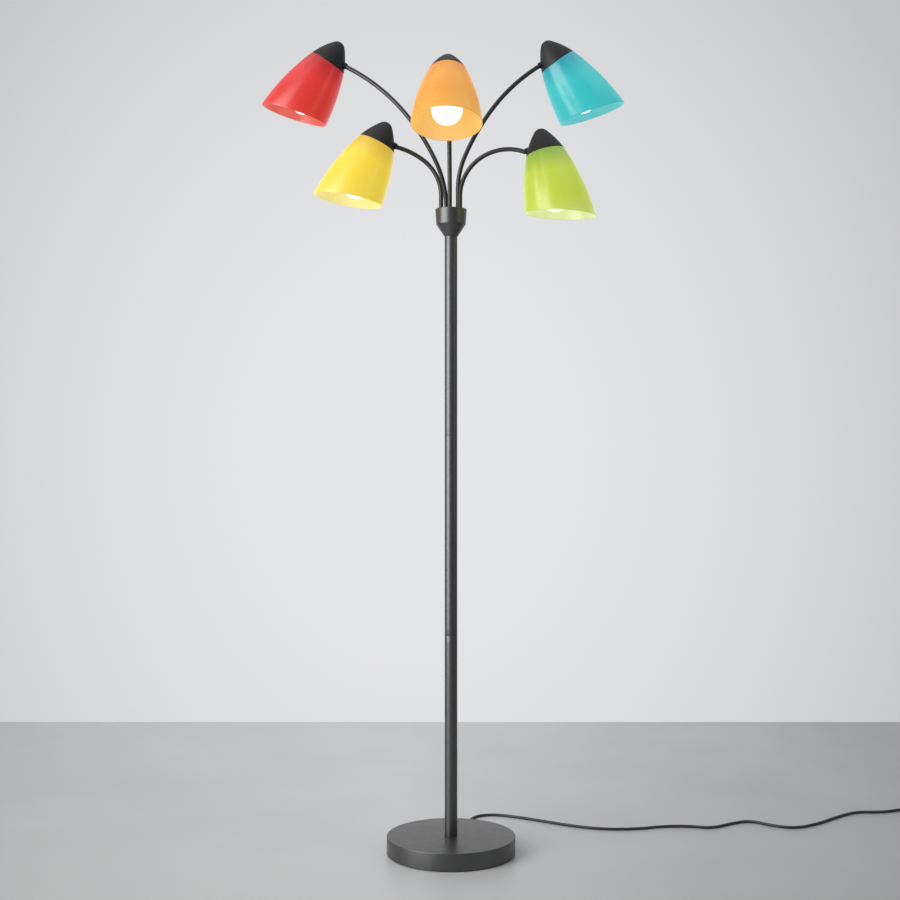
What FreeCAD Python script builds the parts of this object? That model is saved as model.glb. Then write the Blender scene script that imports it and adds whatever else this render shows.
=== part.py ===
"""Tree floor lamp: a round weighted base, a straight pole, a hub and five goosenecks, each with a cap, a
translucent shade and a bulb. Millimetres, +Z up, origin on the floor below the pole's axis; -Y is the front."""

import FreeCAD, Part
import math
import os

import Sketcher

Vector = FreeCAD.Vector
UP = Vector(0, 0, 1)

SIZES = {
    # base
    "base_diameter": 257.0,
    "base_height": 35.6,
    "base_edge_radius": 1.2,
    "cover_wall": 1.5,
    "pad_inset": 5.5,
    "pad_thickness": 1.6,
    "plate_thickness": 1.5,
    "plate_hole_diameter": 36.0,
    "weight_clearance": 5.0,
    "weight_thickness": 12.0,
    "weight_rim_width": 10.0,
    "screw_diameter": 4.0,
    "screw_head_diameter": 7.0,
    "screw_length": 10.0,
    # threaded parts on the lamp's axis
    "nipple_diameter": 10.0,
    "nipple_bore": 7.0,
    "nut_width": 16.0,
    "nut_thickness": 6.0,
    "thread_overrun": 1.5,
    "fit_gap": 0.05,
    # pole
    "pole_diameter": 25.4,
    "pole_wall": 1.2,
    "pole_section_length": 399.0,
    "insert_length": 28.0,
    "coupler_length": 50.0,
    # hub, heights above the top of the pole
    "hub_foot_diameter": 27.0,
    "hub_waist_diameter": 59.0,
    "hub_rim_diameter": 63.0,
    "hub_cone_height": 24.0,
    "hub_height": 54.4,
    "hub_wall": 1.8,
    "hub_floor": 4.5,
    "hub_plate_depth": 9.0,
    "hub_plate_thickness": 3.0,
    "hub_ledge_width": 2.0,
    "terminal_block_diameter": 24.0,
    "terminal_block_height": 10.0,
    # necks
    "neck_diameter": 9.0,
    "neck_bore": 5.6,
    "neck_ring_radius": 20.0,
    "knuckle_gap": 0.3,
    "swivel_gap": 0.3,
    "neck_flange_diameter": 12.4,
    "neck_flange_thickness": 2.0,
    "neck_shoulder_diameter": 12.0,
    "neck_shoulder_height": 2.5,
    "neck_nut_diameter": 13.6,
    "neck_nut_height": 5.0,
    # cap, distances measured from the apex along the head's axis
    "cap_length": 48.3,
    "cap_rim_diameter": 76.0,
    "cap_rim_slope": 22.0,
    "cap_nose_radius": 16.0,
    "cap_wall": 1.8,
    "collar_distance": 35.0,
    "collar_diameter": 12.4,
    "collar_reach": 39.0,
    "collar_face_gap": 2.0,
    # shade
    "shade_outer_length": 195.0,
    "shade_inner_length": 155.0,
    "shade_mouth_diameter": 135.6,
    "shade_bulge_radius": 455.0,
    "shade_wall": 2.0,
    # lamp holder, shade ring and bulb
    "socket_stem_diameter": 10.0,
    "socket_head_diameter": 34.0,
    "socket_head_start": 26.0,
    "socket_flange_diameter": 48.0,
    "socket_flange_thickness": 3.0,
    "socket_barrel_diameter": 40.0,
    "socket_barrel_length": 36.0,
    "socket_bore_depth": 25.0,
    "socket_bore_diameter": 27.2,
    "shade_hole_gap": 0.3,
    "ring_diameter": 50.0,
    "ring_height": 8.0,
    "bulb_diameter": 60.0,
    "bulb_length": 108.0,
    "bulb_base_diameter": 26.2,
    "bulb_base_length": 25.0,
    "bulb_skirt_diameter": 32.0,
    "bulb_wall": 1.5,
    "bulb_seat_gap": 0.2,
    # mains cord, its strain relief, foot switch, coil and plug
    "cord_diameter": 6.0,
    "cord_exit_angle": 80.0,
    "cord_exit_height": 8.0,
    "relief_hole_diameter": 10.0,
    "relief_flange_diameter": 14.0,
    "relief_flange_thickness": 2.0,
    "relief_length": 22.0,
    "relief_tip_diameter": 8.4,
    "relief_bore_gap": 0.1,
    "switch_diameter": 60.0,
    "switch_height": 19.0,
    "switch_edge_radius": 5.0,
    "switch_entry_height": 8.0,
    "switch_boss_diameter": 11.0,
    "switch_boss_length": 8.0,
    "switch_well_floor": 9.0,
    "button_diameter": 26.0,
    "button_gap": 0.3,
    "button_top": 23.5,
    "button_rest_gap": 3.5,
    "button_dome_radius": 60.0,
    "coil_outer_radius": 36.5,
    "coil_pitch": 6.8,
    "coil_layer_rise": 6.6,
    "coil_lead": 48.0,
    "coil_tail": 46.0,
    "plug_length": 34.0,
    "plug_width": 26.0,
    "plug_height": 19.0,
    "plug_edge_radius": 3.0,
    "blade_length": 17.0,
    "blade_width": 6.3,
    "blade_thickness": 1.5,
    "blade_spacing": 12.7,
}

# Each arm: the place of its root on the hub's ring, the heading of its plane, the straight stretch above the
# hub's rim, the length and the turn of each link from the root outward, and the tilt of the head's axis from
# the vertical. Angles in degrees, headings from +X towards +Y.
ARMS = {
    "red": {
        "root": 118,
        "heading": 169.4,
        "stub": 4,
        "links": (97.6, 134.5, 143.9),
        "turns": (24.8, 16.65, 20.5),
        "tilt": 34.5,
    },
    "teal": {
        "root": 46,
        "heading": 11,
        "stub": 40,
        "links": (71.8, 102.3, 143.9),
        "turns": (23.4, 11.9, 21.2),
        "tilt": 35.2,
    },
    "orange": {
        "root": -97,
        "heading": -91.7,
        "stub": 6,
        "links": (120.0, 119.6),
        "turns": (24.2, 24.0),
        "tilt": 30.8,
    },
    "yellow": {
        "root": 190,
        "heading": 184,
        "stub": 26,
        "links": (82.5, 57.5),
        "turns": (53.5, 21.7),
        "tilt": 26.7,
    },
    "green": {
        "root": -26,
        "heading": -16,
        "stub": 23,
        "links": (95.2, 87.9),
        "turns": (62.1, 49.9),
        "tilt": 13.5,
    },
}

# Route of the mains cord after its first point, which is the tip of the strain relief: the corners of the
# straight runs, chosen by hand to follow the cord on the floor. The last point is the face of the foot switch.
CORD_ROUTE = [
    (31.3, 177.8, 8.0),
    (36.5, 208.5, 4.2),
    (43.0, 240.0, 3.0),
    (62.0, 270.0, 3.0),
    (100.0, 277.0, 3.0),
    (150.0, 254.0, 3.0),
    (205.0, 220.0, 3.0),
    (262.0, 184.0, 3.0),
    (325.0, 160.0, 3.0),
    (395.0, 162.0, 3.0),
    (455.0, 184.0, 3.0),
    (510.0, 184.0, 3.0),
    (553.0, 168.0, 3.0),
    (600.0, 203.0, 3.0),
    (647.0, 229.0, 3.0),
    (692.0, 183.0, 3.0),
    (735.0, 169.0, 3.0),
    (790.0, 204.0, 3.0),
    (845.0, 258.0, 3.0),
    (900.0, 301.0, 3.0),
    (956.0, 296.0, 3.0),
    (1002.0, 318.0, 3.0),
    (1026.0, 326.0, 3.8),
    (1048.0, 328.0, 8.0),
    (1068.0, 328.0, 8.0),
]
COIL_QUARTER_TURNS = 10
COIL_CLIMB_FROM = 4
COIL_CLIMB_TO = 6
WEIGHT_SCREWS = 3
CORNER_SHARE = 0.45

doc = FreeCAD.newDocument("tree_floor_lamp")
sub_parts = []


class Size:
    """A length or number together with the formula that gives it from the sheet's cells."""

    def __init__(self, value, text):
        self.value = value
        self.text = text

    def __add__(self, other):
        other = as_size(other)
        return Size(self.value + other.value, f"({self.text} + {other.text})")

    def __sub__(self, other):
        other = as_size(other)
        return Size(self.value - other.value, f"({self.text} - {other.text})")

    def __mul__(self, other):
        other = as_size(other)
        return Size(self.value * other.value, f"({self.text} * {other.text})")

    def __truediv__(self, other):
        other = as_size(other)
        return Size(self.value / other.value, f"({self.text} / {other.text})")

    def __neg__(self):
        return Size(-self.value, f"(0 - {self.text})")


def as_size(number):
    return number if isinstance(number, Size) else Size(float(number), f"{float(number)}")


def size(name):
    return Size(CELLS[name], f"dims.{name}")


def half(name):
    return size(name) / 2


def root_of(amount):
    return Size(math.sqrt(amount.value), f"sqrt({amount.text})")


def sine(degrees):
    return Size(math.sin(math.radians(degrees.value)), f"sin({degrees.text})")


def cosine(degrees):
    return Size(math.cos(math.radians(degrees.value)), f"cos({degrees.text})")


def arm_cells():
    cells = {}
    for name, arm in ARMS.items():
        cells[f"{name}_root_angle"] = arm["root"]
        cells[f"{name}_heading"] = arm["heading"]
        cells[f"{name}_stub"] = arm["stub"]
        for number, (length, turn) in enumerate(zip(arm["links"], arm["turns"]), start=1):
            cells[f"{name}_length_{number}"] = length
            cells[f"{name}_turn_{number}"] = turn
        cells[f"{name}_tilt"] = arm["tilt"]
    return cells


def make_sheet(cells):
    sheet = doc.addObject("Spreadsheet::Sheet", "dims")
    for row, (name, value) in enumerate(cells.items(), start=1):
        sheet.set(f"A{row}", name)
        sheet.set(f"B{row}", str(float(value)))
        sheet.setAlias(f"B{row}", name)
    doc.recompute()


# ---------------------------------------------------------------- objects with sizes bound to the sheet


def primitive(kind, name, placement=None, **sizes):
    obj = doc.addObject(f"Part::{kind}", name)
    for prop, amount in sizes.items():
        obj.setExpression(prop, as_size(amount).text)
    if placement is not None:
        obj.Placement = placement
    return obj


def at(x=0.0, y=0.0, z=0.0, rotation=None):
    values = [v.value if isinstance(v, Size) else float(v) for v in (x, y, z)]
    return FreeCAD.Placement(Vector(*values), rotation or FreeCAD.Rotation())


def along(direction):
    """A turn that lays +Z along the direction."""
    return FreeCAD.Rotation(UP, direction)


def cylinder(name, radius, height, placement=None):
    return primitive("Cylinder", name, placement, Radius=radius, Height=height)


def sphere(name, radius, placement=None):
    return primitive("Sphere", name, placement, Radius=radius)


def fused(name, *pieces):
    obj = doc.addObject("Part::MultiFuse", name)
    obj.Shapes = list(pieces)
    return obj


def cut(name, base, tool):
    obj = doc.addObject("Part::Cut", name)
    obj.Base = base
    obj.Tool = tool
    return obj


def drilled(name, base, *tools):
    return cut(name, base, tools[0] if len(tools) == 1 else fused(f"{name}_tools", *tools))


def group(name, pieces):
    obj = doc.addObject("Part::Compound", name)
    obj.Links = list(pieces)
    return obj


def keep(obj, label):
    obj.Label = label
    sub_parts.append(obj)
    return obj


def ring_of(label, outer, inner, height, z):
    """A plain ring about the lamp's axis, standing on height z."""
    rim = cylinder(f"{label}_outer", outer, height, at(z=z))
    hole = cylinder(f"{label}_hole", inner, height, at(z=z))
    return cut(label, rim, hole)


def arc_middle(start, end, radius, side):
    """Centre and half-way point of an arc from start to end, centre on the left (+1) or right (-1)."""
    middle = (start + end) * 0.5
    chord = end - start
    normal = Vector(-chord.y, chord.x, 0).normalize() * side
    rise = math.sqrt(radius**2 - (chord.Length / 2) ** 2)
    centre = middle + normal * rise
    return centre, centre - normal * radius


def revolved(label, corners, placement=None):
    """A body turned about its Z axis. Corners are (radius, height) and, where an arc leads on to the next
    corner, a third item (arc radius, side of its centre)."""
    body = doc.addObject("PartDesign::Body", label)
    sketch = body.newObject("Sketcher::SketchObject", f"{label}_profile")
    plane = next(p for p in body.Origin.OriginFeatures if p.Role == "XZ_Plane")
    sketch.AttachmentSupport = [(plane, "")]
    sketch.MapMode = "FlatFace"
    places = [Vector(as_size(c[0]).value, as_size(c[1]).value, 0) for c in corners]
    count = len(corners)
    ends = []
    for i, corner in enumerate(corners):
        start, end = places[i], places[(i + 1) % count]
        if len(corner) == 2:
            sketch.addGeometry(Part.LineSegment(start, end), False)
            ends.append((1, 2))
        else:
            radius, side = corner[2]
            middle = arc_middle(start, end, radius.value, side)[1]
            sketch.addGeometry(Part.Arc(start, middle, end), False)
            ends.append((2, 1) if side < 0 else (1, 2))
    for i in range(count):
        following = (i + 1) % count
        sketch.addConstraint(Sketcher.Constraint("Coincident", i, ends[i][1], following, ends[following][0]))
    for i, corner in enumerate(corners):
        for kind, axis, amount in (("DistanceX", -2, corner[0]), ("DistanceY", -1, corner[1])):
            amount = as_size(amount)
            if amount.text == "0.0":
                sketch.addConstraint(Sketcher.Constraint("PointOnObject", i, ends[i][0], axis))
                continue
            number = sketch.addConstraint(Sketcher.Constraint(kind, -1, 1, i, ends[i][0], amount.value))
            sketch.renameConstraint(number, f"{kind}_{i}")
            sketch.setExpression(f"Constraints.{kind}_{i}", amount.text)
        if len(corner) == 3:
            radius = corner[2][0]
            number = sketch.addConstraint(Sketcher.Constraint("Radius", i, radius.value))
            sketch.renameConstraint(number, f"Radius_{i}")
            sketch.setExpression(f"Constraints.Radius_{i}", radius.text)
    turn = body.newObject("PartDesign::Revolution", f"{label}_turn")
    turn.Profile = sketch
    turn.ReferenceAxis = (sketch, ["V_Axis"])
    turn.Angle = 360.0
    body.Tip = turn
    if placement is not None:
        body.Placement = placement
    return body


def hex_nut(name, z):
    """Hexagonal nut on the lamp's axis, standing on height z."""
    corner_radius = half("nut_width") / cosine(as_size(30))
    blank = primitive("Prism", f"{name}_blank", at(z=z), Circumradius=corner_radius, Height=size("nut_thickness"))
    blank.Polygon = 6
    hole = cylinder(f"{name}_hole", half("nipple_diameter") + size("fit_gap"), size("nut_thickness"), at(z=z))
    return cut(name, blank, hole)


def tube_along(wire, radius):
    """Round solid tube along a wire of lines and arcs."""
    start = wire.Vertexes[0].Point
    first = wire.Edges[0]
    heading = first.tangentAt(first.FirstParameter)
    profile = Part.Wire([Part.makeCircle(radius, start, heading)])
    shell = Part.BRepOffsetAPI.MakePipeShell(wire)
    shell.add(profile)
    shell.build()
    shell.makeSolid()
    return shell.shape()


def plain_feature(label, shape):
    obj = doc.addObject("Part::Feature", label)
    obj.Shape = shape
    return keep(obj, label)


# ---------------------------------------------------------------- base


def base_levels():
    levels = {"plate": size("pad_thickness")}
    levels["inside_floor"] = levels["plate"] + size("plate_thickness")
    levels["inside_top"] = size("base_height") - size("cover_wall")
    levels["weight_web"] = levels["inside_top"] - size("weight_thickness")
    levels["nut"] = levels["weight_web"] - size("nut_thickness")
    levels["nipple"] = levels["nut"] - size("thread_overrun")
    return levels


def exit_direction():
    angle = math.radians(size("cord_exit_angle").value)
    return Vector(math.cos(angle), math.sin(angle), 0)


def radial_place(radius, z):
    point = exit_direction() * as_size(radius).value
    return at(point.x, point.y, z, along(exit_direction()))


def make_base():
    levels = base_levels()
    hole = half("nipple_diameter") + size("fit_gap") * 2
    outer = half("base_diameter")
    inner = outer - size("cover_wall")
    top = size("base_height")
    edge = size("base_edge_radius")
    shell = revolved(
        "base_cover_shell",
        [
            (hole, top),
            (outer - edge, top, (edge, -1)),
            (outer, top - edge),
            (outer, levels["plate"]),
            (inner, levels["plate"]),
            (inner, levels["inside_top"]),
            (hole, levels["inside_top"]),
        ],
    )
    opening = cylinder(
        "base_cover_cord_hole",
        half("relief_hole_diameter"),
        size("cover_wall") * 4,
        radial_place(inner - size("cover_wall"), size("cord_exit_height")),
    )
    keep(drilled("base_cover", shell, opening), "base_cover")

    keep(cylinder("base_pad", outer - size("pad_inset"), size("pad_thickness")), "base_pad")
    make_bottom_plate(levels, inner)
    make_weight(levels, hole)

    nut_top = top + size("insert_length")
    length = nut_top - levels["nipple"]
    return threaded_nipple("base_nipple", levels["nipple"], length), hex_nut("base_nut", levels["nut"])


def weight_radius():
    return half("base_diameter") - size("cover_wall") - size("weight_clearance")


def screw_places():
    step = 360.0 / WEIGHT_SCREWS
    reach = (weight_radius() - half("weight_rim_width")).value
    for number in range(WEIGHT_SCREWS):
        angle = math.radians(step * number - 90.0)
        yield number, reach * math.cos(angle), reach * math.sin(angle)


def make_bottom_plate(levels, inner):
    thickness = size("plate_thickness")
    disc = cylinder("base_plate_disc", inner - size("swivel_gap"), thickness, at(z=levels["plate"]))
    tools = [cylinder("base_plate_window", half("plate_hole_diameter"), thickness, at(z=levels["plate"]))]
    # shallow notch in the plate's top, clear of the strain relief's inner lip
    lip = size("relief_flange_thickness") + size("swivel_gap") * 2
    tools.append(
        cylinder(
            "base_plate_notch",
            half("relief_hole_diameter") + size("swivel_gap") * 2,
            lip * 2,
            radial_place(inner - lip, size("cord_exit_height")),
        )
    )
    screws = []
    head = half("screw_head_diameter")
    shank = half("screw_diameter")
    for number, x, y in screw_places():
        place = at(x, y, levels["plate"])
        tools.append(
            primitive("Cone", f"plate_sink_{number}", place, Radius1=head, Radius2=shank, Height=thickness)
        )
        cone = primitive("Cone", f"screw_head_{number}", place, Radius1=head, Radius2=shank, Height=thickness)
        stem = cylinder(f"screw_stem_{number}", shank, size("screw_length"), place)
        screws.append(fused(f"screw_{number}", cone, stem))
    keep(drilled("base_plate", disc, *tools), "base_plate")
    keep(group("base_screws", screws), "base_screws")


def make_weight(levels, hole):
    rim_outer = weight_radius()
    rim_inner = rim_outer - size("weight_rim_width")
    casting = revolved(
        "base_weight_casting",
        [
            (hole, levels["inside_top"]),
            (rim_outer, levels["inside_top"]),
            (rim_outer, levels["inside_floor"]),
            (rim_inner, levels["inside_floor"]),
            (rim_inner, levels["weight_web"]),
            (hole, levels["weight_web"]),
        ],
    )
    notch = primitive(
        "Box",
        "base_weight_cord_notch",
        Length=size("weight_rim_width") * 3,
        Width=size("cord_diameter") + 3,
        Height=size("cord_exit_height") + size("cord_diameter"),
    )
    turn = FreeCAD.Rotation(UP, size("cord_exit_angle").value)
    corner = turn.multVec(
        Vector(
            (rim_inner - size("weight_rim_width")).value,
            -(size("cord_diameter") + 3).value / 2,
            levels["plate"].value,
        )
    )
    notch.Placement = FreeCAD.Placement(corner, turn)
    holes = [
        cylinder(f"weight_hole_{number}", half("screw_diameter"), size("screw_length"), at(x, y, levels["plate"]))
        for number, x, y in screw_places()
    ]
    keep(drilled("base_weight", casting, notch, *holes), "base_weight")


def threaded_nipple(name, z, length):
    rod = cylinder(f"{name}_rod", half("nipple_diameter"), length, at(z=z))
    bore = cylinder(f"{name}_bore", half("nipple_bore"), length, at(z=z))
    return cut(name, rod, bore)


# ---------------------------------------------------------------- pole and hub


def pole_top():
    return size("base_height") + size("pole_section_length") * 3


def make_pole():
    radius = half("pole_diameter")
    inner = radius - size("pole_wall")
    length = size("pole_section_length")
    for number, label in enumerate(("pole_lower", "pole_middle", "pole_upper")):
        foot = size("base_height") + length * number
        keep(ring_of(label, radius, inner, length, foot), label)
    plug = inner - size("fit_gap")
    bore = half("nipple_diameter") + size("fit_gap")
    inserts = []
    for number, z in enumerate((size("base_height"), pole_top() - size("insert_length"))):
        inserts.append(ring_of(f"end_insert_{number}", plug, bore, size("insert_length"), z))
    for number in (1, 2):
        z = size("base_height") + length * number - half("coupler_length")
        inserts.append(ring_of(f"coupler_{number}", plug, bore, size("coupler_length"), z))
    keep(group("pole_inserts", inserts), "pole_inserts")


def hub_levels():
    foot = pole_top()
    levels = {"foot": foot, "waist": foot + size("hub_cone_height"), "rim": foot + size("hub_height")}
    levels["floor"] = foot + size("hub_floor")
    levels["plate_top"] = levels["rim"] - size("hub_plate_depth")
    levels["ledge"] = levels["plate_top"] - size("hub_plate_thickness")
    levels["nut_top"] = levels["plate_top"] + size("neck_nut_height")
    return levels


def make_hub():
    levels = hub_levels()
    foot = half("hub_foot_diameter")
    waist = half("hub_waist_diameter")
    rim = half("hub_rim_diameter")
    seat = waist - size("hub_wall") / 2
    throat = seat - size("hub_ledge_width")
    floor_edge = foot + size("swivel_gap")
    hole = half("nipple_diameter") + size("fit_gap") * 2
    keep(
        revolved(
            "hub_cup",
            [
                (hole, levels["foot"]),
                (foot, levels["foot"]),
                (waist, levels["waist"]),
                (rim, levels["rim"]),
                (seat, levels["rim"]),
                (seat, levels["ledge"]),
                (throat, levels["ledge"]),
                (throat, levels["waist"] + size("hub_wall")),
                (floor_edge, levels["floor"]),
                (hole, levels["floor"]),
            ],
        ),
        "hub_cup",
    )
    plate = cylinder(
        "hub_plate_disc", seat - size("fit_gap") * 4, size("hub_plate_thickness"), at(z=levels["ledge"])
    )
    tools = [cylinder("hub_plate_centre", hole, size("hub_plate_thickness"), at(z=levels["ledge"]))]
    nuts = []
    for name in ARMS:
        place = arm_root(name, levels["ledge"].value)
        bore = half("neck_diameter") + size("swivel_gap")
        tools.append(cylinder(f"hub_plate_{name}", bore, size("hub_plate_thickness"), at(*place)))
        place = arm_root(name, levels["plate_top"].value)
        nut = cylinder(f"neck_nut_{name}_body", half("neck_nut_diameter"), size("neck_nut_height"), at(*place))
        nut_bore = cylinder(f"neck_nut_{name}_bore", bore, size("neck_nut_height"), at(*place))
        nuts.append(cut(f"neck_nut_{name}", nut, nut_bore))
    keep(drilled("hub_plate", plate, *tools), "hub_plate")
    keep(group("neck_nuts", nuts), "neck_nuts")

    block_foot = levels["floor"] + size("nut_thickness")
    keep(
        ring_of(
            "terminal_block",
            half("terminal_block_diameter"),
            half("nipple_diameter") + size("fit_gap"),
            size("terminal_block_height"),
            block_foot,
        ),
        "terminal_block",
    )
    start = pole_top() - size("insert_length")
    top = levels["plate_top"] + size("nut_thickness") + size("thread_overrun")
    nipple = threaded_nipple("hub_nipple_plain", start, top - start)
    window = cylinder(
        "hub_nipple_window",
        half("cord_diameter") / 2,
        size("nipple_diameter") * 2,
        at(-size("nipple_diameter"), 0, block_foot + half("terminal_block_height"), along(Vector(1, 0, 0))),
    )
    nuts = [hex_nut("hub_floor_nut", levels["floor"]), hex_nut("hub_plate_nut", levels["plate_top"])]
    return cut("hub_nipple", nipple, window), nuts


# ---------------------------------------------------------------- arms


def arm_root(name, z):
    angle = math.radians(size(f"{name}_root_angle").value)
    reach = size("neck_ring_radius").value
    return reach * math.cos(angle), reach * math.sin(angle), z


def outward(name):
    angle = math.radians(size(f"{name}_heading").value)
    return Vector(math.cos(angle), math.sin(angle), 0)


def bend_axis(name):
    """Axis about which a positive turn swings the arm outward and down."""
    return UP.cross(outward(name))


def rise_and_run(name, degrees):
    """Direction that leans outward from the vertical by so many degrees."""
    lean = math.radians(degrees)
    return outward(name) * math.sin(lean) + UP * math.cos(lean)


def arm_path(name):
    """Start point, end point, and lean at the start of each link; then the end of the last."""
    point = Vector(*arm_root(name, hub_levels()["rim"].value)) + UP * size(f"{name}_stub").value
    lean = 0.0
    stations = []
    for number in range(1, len(ARMS[name]["turns"]) + 1):
        turn = size(f"{name}_turn_{number}").value
        radius = size(f"{name}_length_{number}").value / math.radians(turn)
        centre = point + rise_and_run(name, lean + 90) * radius
        following = centre - rise_and_run(name, lean + turn + 90) * radius
        stations.append({"start": point, "end": following, "centre": centre, "lean": lean, "turn": turn})
        point = following
        lean += turn
    return stations


def link_frame(name, station):
    """Frame on the centre of a link's arc: X to the link's start, Y along it there."""
    to_start = -rise_and_run(name, station["lean"] + 90)
    ahead = rise_and_run(name, station["lean"])
    axis = to_start.cross(ahead)
    return FreeCAD.Placement(station["centre"], FreeCAD.Rotation(to_start, ahead, axis, "XYZ"))


def make_link(name, number, station):
    turn = size(f"{name}_turn_{number}")
    radius = size(f"{name}_length_{number}") * 180 / (turn * math.pi)
    tube_radius = half("neck_diameter")
    frame = link_frame(name, station)
    prefix = f"{name}_link_{number}"
    tube = primitive(
        "Torus", f"{prefix}_tube", frame, Radius1=radius, Radius2=tube_radius, Angle3=turn
    )
    ahead = along(rise_and_run(name, station["lean"]))
    ahead_at_end = along(rise_and_run(name, station["lean"] + station["turn"]))
    pieces = [tube, sphere(f"{prefix}_ball", tube_radius, at(*station["end"], ahead_at_end))]
    tools = []
    bore_lead = size("neck_diameter") * 180 / (radius * math.pi)
    back = FreeCAD.Rotation(Vector(0, 0, 1), -bore_lead.value)
    bore_frame = frame.multiply(FreeCAD.Placement(Vector(), back))
    tools.append(
        primitive(
            "Torus",
            f"{prefix}_bore",
            bore_frame,
            Radius1=radius,
            Radius2=half("neck_bore"),
            Angle3=turn + bore_lead * 2,
        )
    )
    if number == 1:
        pieces += root_fitting(name, prefix)
        tools.append(root_bore(name, prefix))
    else:
        cup_radius = tube_radius + size("knuckle_gap")
        tools.append(sphere(f"{prefix}_cup", cup_radius, at(*station["start"], ahead)))
    labels = {1: "neck_lower", len(ARMS[name]["turns"]): "neck_upper"}
    label = f"{name}_{labels.get(number, 'neck_middle')}"
    body = fused(f"{prefix}_solid", *pieces)
    keep(drilled(label, body, *tools), label)


def root_fitting(name, prefix):
    """Straight foot of a neck: flange below the hub's plate, stem, and shoulder above its nut."""
    levels = hub_levels()
    flange_top = levels["ledge"] - size("swivel_gap")
    flange_foot = flange_top - size("neck_flange_thickness")
    stem_top = levels["rim"] + size(f"{name}_stub")
    shoulder = levels["nut_top"] + size("swivel_gap")
    return [
        cylinder(
            f"{prefix}_flange",
            half("neck_flange_diameter"),
            size("neck_flange_thickness"),
            at(*arm_root(name, flange_foot.value)),
        ),
        cylinder(
            f"{prefix}_stem",
            half("neck_diameter"),
            stem_top - flange_foot,
            at(*arm_root(name, flange_foot.value)),
        ),
        cylinder(
            f"{prefix}_shoulder",
            half("neck_shoulder_diameter"),
            size("neck_shoulder_height"),
            at(*arm_root(name, shoulder.value)),
        ),
    ]


def root_bore(name, prefix):
    levels = hub_levels()
    foot = levels["ledge"] - size("swivel_gap") - size("neck_flange_thickness")
    stem_top = levels["rim"] + size(f"{name}_stub")
    return cylinder(
        f"{prefix}_stem_bore", half("neck_bore"), stem_top - foot, at(*arm_root(name, foot.value))
    )


def head_frame(name):
    """Frame with its origin on the cap's apex, -Z down the head's axis to the mouth, +X outward."""
    knuckle = arm_path(name)[-1]["end"]
    tilt = size(f"{name}_tilt").value
    down = rise_and_run(name, 180 - tilt)
    out = rise_and_run(name, 90 - tilt)
    apex = knuckle - down * size("collar_distance").value + out * size("collar_reach").value
    return FreeCAD.Placement(apex, FreeCAD.Rotation(out, out.cross(down), -down, "XYZ"))


def cap_side_radius(rim_radius, length, nose):
    """Radius of the cap's side: an arc that is tangent to the nose and meets the rim at its slope."""
    slope = size("cap_rim_slope")
    reach = length - nose
    quadratic_free = reach * reach + rim_radius * rim_radius - nose * nose
    linear = rim_radius * cosine(slope) * 2 - reach * sine(slope) * 2 - nose * 2
    return quadratic_free / linear


def cap_outline(shrink):
    """Nose and side of the cap, drawn in by so much: apex height, joint of the arcs, rim, and both radii."""
    slope = size("cap_rim_slope")
    rim_radius = half("cap_rim_diameter")
    length = size("cap_length")
    nose = size("cap_nose_radius")
    side = cap_side_radius(rim_radius, length, nose)
    centre_r = rim_radius - side * cosine(slope)
    centre_t = length + side * sine(slope)
    reach = side - nose
    unit_r = -centre_r / reach
    unit_t = (nose - centre_t) / reach
    nose_in = nose - shrink
    side_in = side - shrink
    rim_in = centre_r + root_of(side_in * side_in - (length - centre_t) * (length - centre_t))
    return {
        "apex": (as_size(0), -shrink if shrink.value else as_size(0)),
        "joint": (unit_r * nose_in, -(nose + unit_t * nose_in)),
        "rim": (rim_in, -length),
        "nose": nose_in,
        "side": side_in,
    }


def make_head(name):
    frame = head_frame(name)
    make_cap(name, frame)
    make_shade(name, frame)
    make_socket(name, frame)
    make_bulb(name, frame)


def make_cap(name, frame):
    outer = cap_outline(as_size(0))
    inner = cap_outline(size("cap_wall"))
    shell = revolved(
        f"{name}_cap_shell",
        [
            (*outer["apex"], (outer["nose"], -1)),
            (*outer["joint"], (outer["side"], -1)),
            outer["rim"],
            (*inner["rim"], (inner["side"], 1)),
            (*inner["joint"], (inner["nose"], 1)),
            inner["apex"],
        ],
        frame,
    )
    height = -size("collar_distance")
    inward = Vector(-1, 0, 0)
    start = half("socket_head_diameter") + size("cap_wall")
    face = size("collar_reach") - size("collar_face_gap")
    collar = cylinder(
        f"{name}_collar",
        half("collar_diameter"),
        face - start,
        frame.multiply(at(-start, 0, height, along(inward))),
    )
    room = revolved(
        f"{name}_cap_room",
        [
            (*inner["apex"], (inner["nose"], -1)),
            (*inner["joint"], (inner["side"], -1)),
            inner["rim"],
            (as_size(0), -size("cap_length")),
        ],
        frame,
    )
    outside_collar = cut(f"{name}_collar_trimmed", collar, room)
    knuckle = frame.multiply(at(-size("collar_reach"), 0, height, along(inward)))
    cup = sphere(f"{name}_collar_cup", half("neck_diameter") + size("knuckle_gap"), knuckle)
    lead = cylinder(
        f"{name}_collar_lead",
        half("neck_bore"),
        size("collar_reach") - start,
        frame.multiply(at(-start, 0, height, along(inward))),
    )
    keep(drilled(f"{name}_cap", fused(f"{name}_cap_solid", shell, outside_collar), cup, lead), f"{name}_cap")


def shade_long():
    """Length at which the shade's turned outline ends, past the slanted mouth's longest side."""
    return size("shade_outer_length") + size("shade_wall") * 2


def shade_mouth_radius():
    return half("shade_mouth_diameter")


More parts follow.
